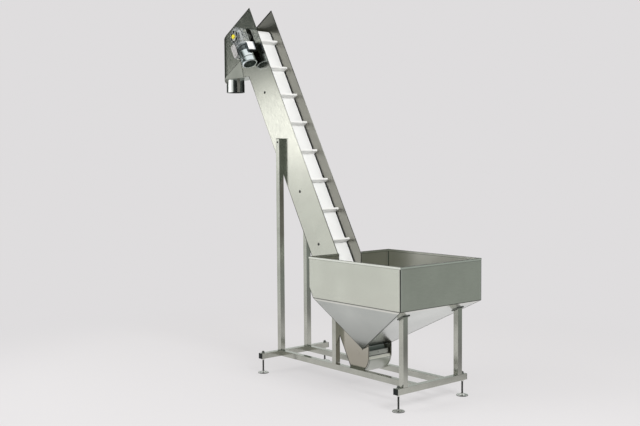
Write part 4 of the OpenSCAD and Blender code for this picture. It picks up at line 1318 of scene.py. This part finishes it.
        finish_piece("fan_wheel", wheel, black_plastic())

    def motor(self, motor_y, fins):
        """Finned motor housing between the gear unit and the fan cover."""
        place = slope_place(MOTOR_N, motor_y, MOTOR_S[1])
        length = MOTOR_S[2] - MOTOR_S[1]
        core, tip, shell, split = 0.058, 0.0685, 0.0735, 0.078
        bm = bmesh.new()
        lathe(bm, [(0, split), (tip - 0.001, split), (core, split + 0.003),
                   (core, length - 0.017), (tip - 0.001, length - 0.016), (tip, length - 0.014),
                   (tip, length - 0.001), (tip - 0.001, length), (0, length)], place, 64)
        for k in range(fins):
            blade = place @ Matrix.Rotation(2 * math.pi * k / fins, 4, "Z")
            block(bm, (core - 0.002, -0.0014, split + 0.001), (tip, 0.0014, length - 0.015), blade, 0.0007, 1)
        finish_piece("finned_motor", bm, motor_paint(), ("drive_motor",))
        smooth = bmesh.new()
        lathe(smooth, [(0, 0.0065), (shell - 0.001, 0.0065), (shell, 0.008), (shell, split - 0.006),
                       (shell - 0.0015, split - 0.002), (shell - 0.006, split), (0, split)], place, 72)
        finish_piece("motor_shell", smooth, fan_sheet())
        groove = bmesh.new()
        lathe(groove, [(0, 0.0002), (shell - 0.003, 0.0002), (shell - 0.003, 0.0070), (0, 0.0070)], place, 48)
        finish_piece("motor_shell_groove", groove, black_plastic())

    def box(self, motor_y):
        """Terminal box with rounded corners, a screwed lid and a cable gland."""
        half, length, depth = BOX_HALF, BOX_LENGTH, BOX_DEPTH
        place = slope_place(BOX_N, motor_y, BOX_S)
        quarter = Matrix.Rotation(math.pi / 2, 4, "Y")
        bm, lid, black, screws = bmesh.new(), bmesh.new(), bmesh.new(), bmesh.new()
        block(bm, (-0.004, -half + 0.008, 0.010), (0.006, half - 0.008, length - 0.010), place, 0.002, 2)
        block(bm, (0.004, -half, 0), (depth - 0.0015, half, length), place, 0.006, 4)
        block(lid, (depth - 0.001, -half - 0.002, -0.002), (depth + 0.0075, half + 0.002, length + 0.002),
              place, 0.003, 3)
        block(lid, (depth + 0.0072, -half + 0.012, 0.012), (depth + 0.0080, half - 0.012, length - 0.012),
              place, 0.0003, 1)
        for y in (-half + 0.006, half - 0.006):
            for s in (0.006, length - 0.006):
                lathe(screws, [(0, 0), (0.0035, 0), (0.0035, 0.0003), (0.0026, 0.0005), (0, 0.0005)],
                      place @ Matrix.Translation((depth + 0.0075, y, s)) @ quarter, 14)
        gland = place @ Matrix.Translation((depth / 2, 0, 0)) @ Matrix.Rotation(math.pi, 4, "Y")
        prism(black, hexagon(0.012), 0.006, gland, 0.0008, 2)
        lathe(black, [(0, 0.006), (0.0095, 0.006), (0.0105, 0.008), (0.0105, 0.012), (0.008, 0.0155),
                      (0.005, 0.016), (0.004, 0.013), (0, 0.013)], gland, 24)
        finish_piece("rounded_terminal_box", bm, box_paint(), ("terminal_box",))
        finish_piece("terminal_box_lid", lid, lid_plastic())
        finish_piece("terminal_box_gland", black, black_plastic())
        finish_piece("terminal_box_screws", screws, plated_steel())


class ELEVATOR_OT_welds(ElevatorOperator, bpy.types.Operator):
    """Lays the weld beads, the seams and cut edges of the sheets, and the small parts of the boot"""
    bl_idname = "elevator.welds"
    bl_label = "Welds, seams and edges"

    def execute(self, context):
        self.post_welds(context.scene.elevator_steel.bead * 0.7)
        self.plate_edges()
        self.wall_edges()
        self.shaft_discs()
        self.boot_lip()
        return {"FINISHED"}

    def post_welds(self, size):
        """Weld beads round the feet of the posts."""
        bm = bmesh.new()
        base_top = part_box("side_rails")[1].z
        for node in ("tall_posts", "front_hopper_posts", "rear_hopper_posts"):
            low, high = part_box(node)
            for y0, y1 in ((low.y, low.y + TUBE), (high.y - TUBE, high.y)):
                ring = [(low.x, y0), (high.x, y0), (high.x, y1), (low.x, y1)]
                for (xa, ya), (xb, yb) in zip(ring, ring[1:] + ring[:1]):
                    bead(bm, (xa, ya, base_top), (xb, yb, base_top), size)
        finish_piece("frame_welds", bm, weld_steel())

    def plate_edges(self):
        """Cut edges round both side plates, bold on the outside of the head."""
        bm = bmesh.new()
        radius, inset, lift = THIN_EDGE
        for node in ("casing_near_plate", "casing_far_plate"):
            for side in (-1, 1):
                for outline in plate_outlines(node, (0, side, 0), inset, lift):
                    joint = (outline[0] + outline[-1]) / 2
                    sweep(bm, [joint] + outline + [joint], radius, 6)
        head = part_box("head_rear_wall")[0].z + 0.1
        radius, inset, lift = BOLD_EDGE
        for node, side in (("casing_near_plate", -1), ("casing_far_plate", 1)):
            for outline in plate_outlines(node, (0, side, 0), inset, lift):
                for start, end in zip(outline, outline[1:] + outline[:1]):
                    if min(start.z, end.z) > head:
                        sweep(bm, (start, end), radius, 8)
        finish_piece("casing_cut_edges", bm, edge_steel())

    def wall_edges(self):
        """Dark seams where the sheets of the hopper are folded and welded."""
        bm = bmesh.new()
        radius, inset, lift = SEAM_EDGE
        below_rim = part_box("hopper_front_wall")[1].z - 0.03
        below_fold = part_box("hopper_front_wall")[0].z - 0.01
        sheets = (
            ("hopper_near_wall", (0, -1, 0), below_rim), ("hopper_far_wall", (0, 1, 0), below_rim),
            ("hopper_front_wall", (1, 0, 0), below_rim), ("hopper_rear_wall", (-1, 0, 0), below_rim),
            ("near_slope", (0, -0.8, -0.6), below_fold), ("far_slope", (0, 0.8, -0.6), below_fold),
            ("front_slope", (0.494, 0, -0.869), below_fold), ("rear_slopes", (-SN, 0, -CS), below_rim),
        )
        for node, direction, highest in sheets:
            for outline in plate_outlines(node, direction, inset, lift):
                for start, end in zip(outline, outline[1:] + outline[:1]):
                    if min(start.z, end.z) < highest:
                        sweep(bm, (start, end), radius, 6)
        finish_piece("hopper_seams", bm, seam_steel())

    def shaft_discs(self):
        """Low discs over the ends of the boot shaft."""
        bm = bmesh.new()
        ends = [v.co for v in NODES["drum_shafts"].data.vertices if v.co.z < 1]
        x = (min(c.x for c in ends) + max(c.x for c in ends)) / 2
        z = (min(c.z for c in ends) + max(c.z for c in ends)) / 2
        for side in (-1, 1):
            place = look_along((x, side * CASING_HALF, z), (0, side, 0), (SN, 0, CS))
            lathe(bm, [(0, 0), (0.024, 0), (0.024, 0.0008), (0.0232, 0.0012), (0, 0.0012)], place, 40)
        finish_piece("boot_shaft_discs", bm, casing_sheet())

    def boot_lip(self):
        """Folded lip along the top of the boot nose, painted pale as a highlight, with the screws of the
        cleanout strip over it.
        """
        lip, screws = bmesh.new(), bmesh.new()
        half = CASING_HALF - PLATE
        place = look_along((LIP_X, 0, LIP_Z), LIP_LEAN, (0, 1, 0))
        block(lip, (-0.013, -half, -0.001), (0.013, half, 0.0014), place, 0.0006, 2)
        low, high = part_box("cleanout_strip")
        for y in (low.y + 0.018, 0.0, high.y - 0.018):
            head = look_along((high.x, y, (low.z + high.z) / 2), (1, 0, 0))
            dome_bolt(screws, head, 0.007, 0.011)
        finish_piece("boot_lip", lip, lip_highlight())
        finish_piece("cleanout_screws", screws, plated_steel())


STEPS = (
    ELEVATOR_OT_stage,
    ELEVATOR_OT_finishes,
    ELEVATOR_OT_tubes,
    ELEVATOR_OT_plate_bolts,
    ELEVATOR_OT_feet,
    ELEVATOR_OT_scoops,
    ELEVATOR_OT_drive,
    ELEVATOR_OT_welds,
)
SETTINGS = (
    ("elevator_stage", StageSettings),
    ("elevator_steel", SteelSettings),
    ("elevator_belt", BeltSettings),
    ("elevator_hardware", HardwareSettings),
)


class ELEVATOR_PT_panel(bpy.types.Panel):
    """Lists the pieces of the elevator and their sizes and colours"""
    bl_label = "Bucket elevator"
    bl_idname = "ELEVATOR_PT_panel"
    bl_space_type = "VIEW_3D"
    bl_region_type = "UI"
    bl_category = "Elevator"

    def draw(self, context):
        for key, group in SETTINGS:
            box = self.layout.box()
            for name in group.__annotations__:
                box.prop(getattr(context.scene, key), name)
        for step in STEPS:
            self.layout.operator(step.bl_idname)


def register():
    for key, group in SETTINGS:
        bpy.utils.register_class(group)
        setattr(bpy.types.Scene, key, bpy.props.PointerProperty(type=group))
    for step in STEPS:
        bpy.utils.register_class(step)
    bpy.utils.register_class(ELEVATOR_PT_panel)


def unregister():
    bpy.utils.unregister_class(ELEVATOR_PT_panel)
    for step in reversed(STEPS):
        bpy.utils.unregister_class(step)
    for key, group in reversed(SETTINGS):
        delattr(bpy.types.Scene, key)
        bpy.utils.unregister_class(group)


def main():
    register()
    for step in STEPS:
        area, name = step.bl_idname.split(".")
        getattr(getattr(bpy.ops, area), name)()
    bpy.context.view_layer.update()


if __name__ == "__main__":
    main()
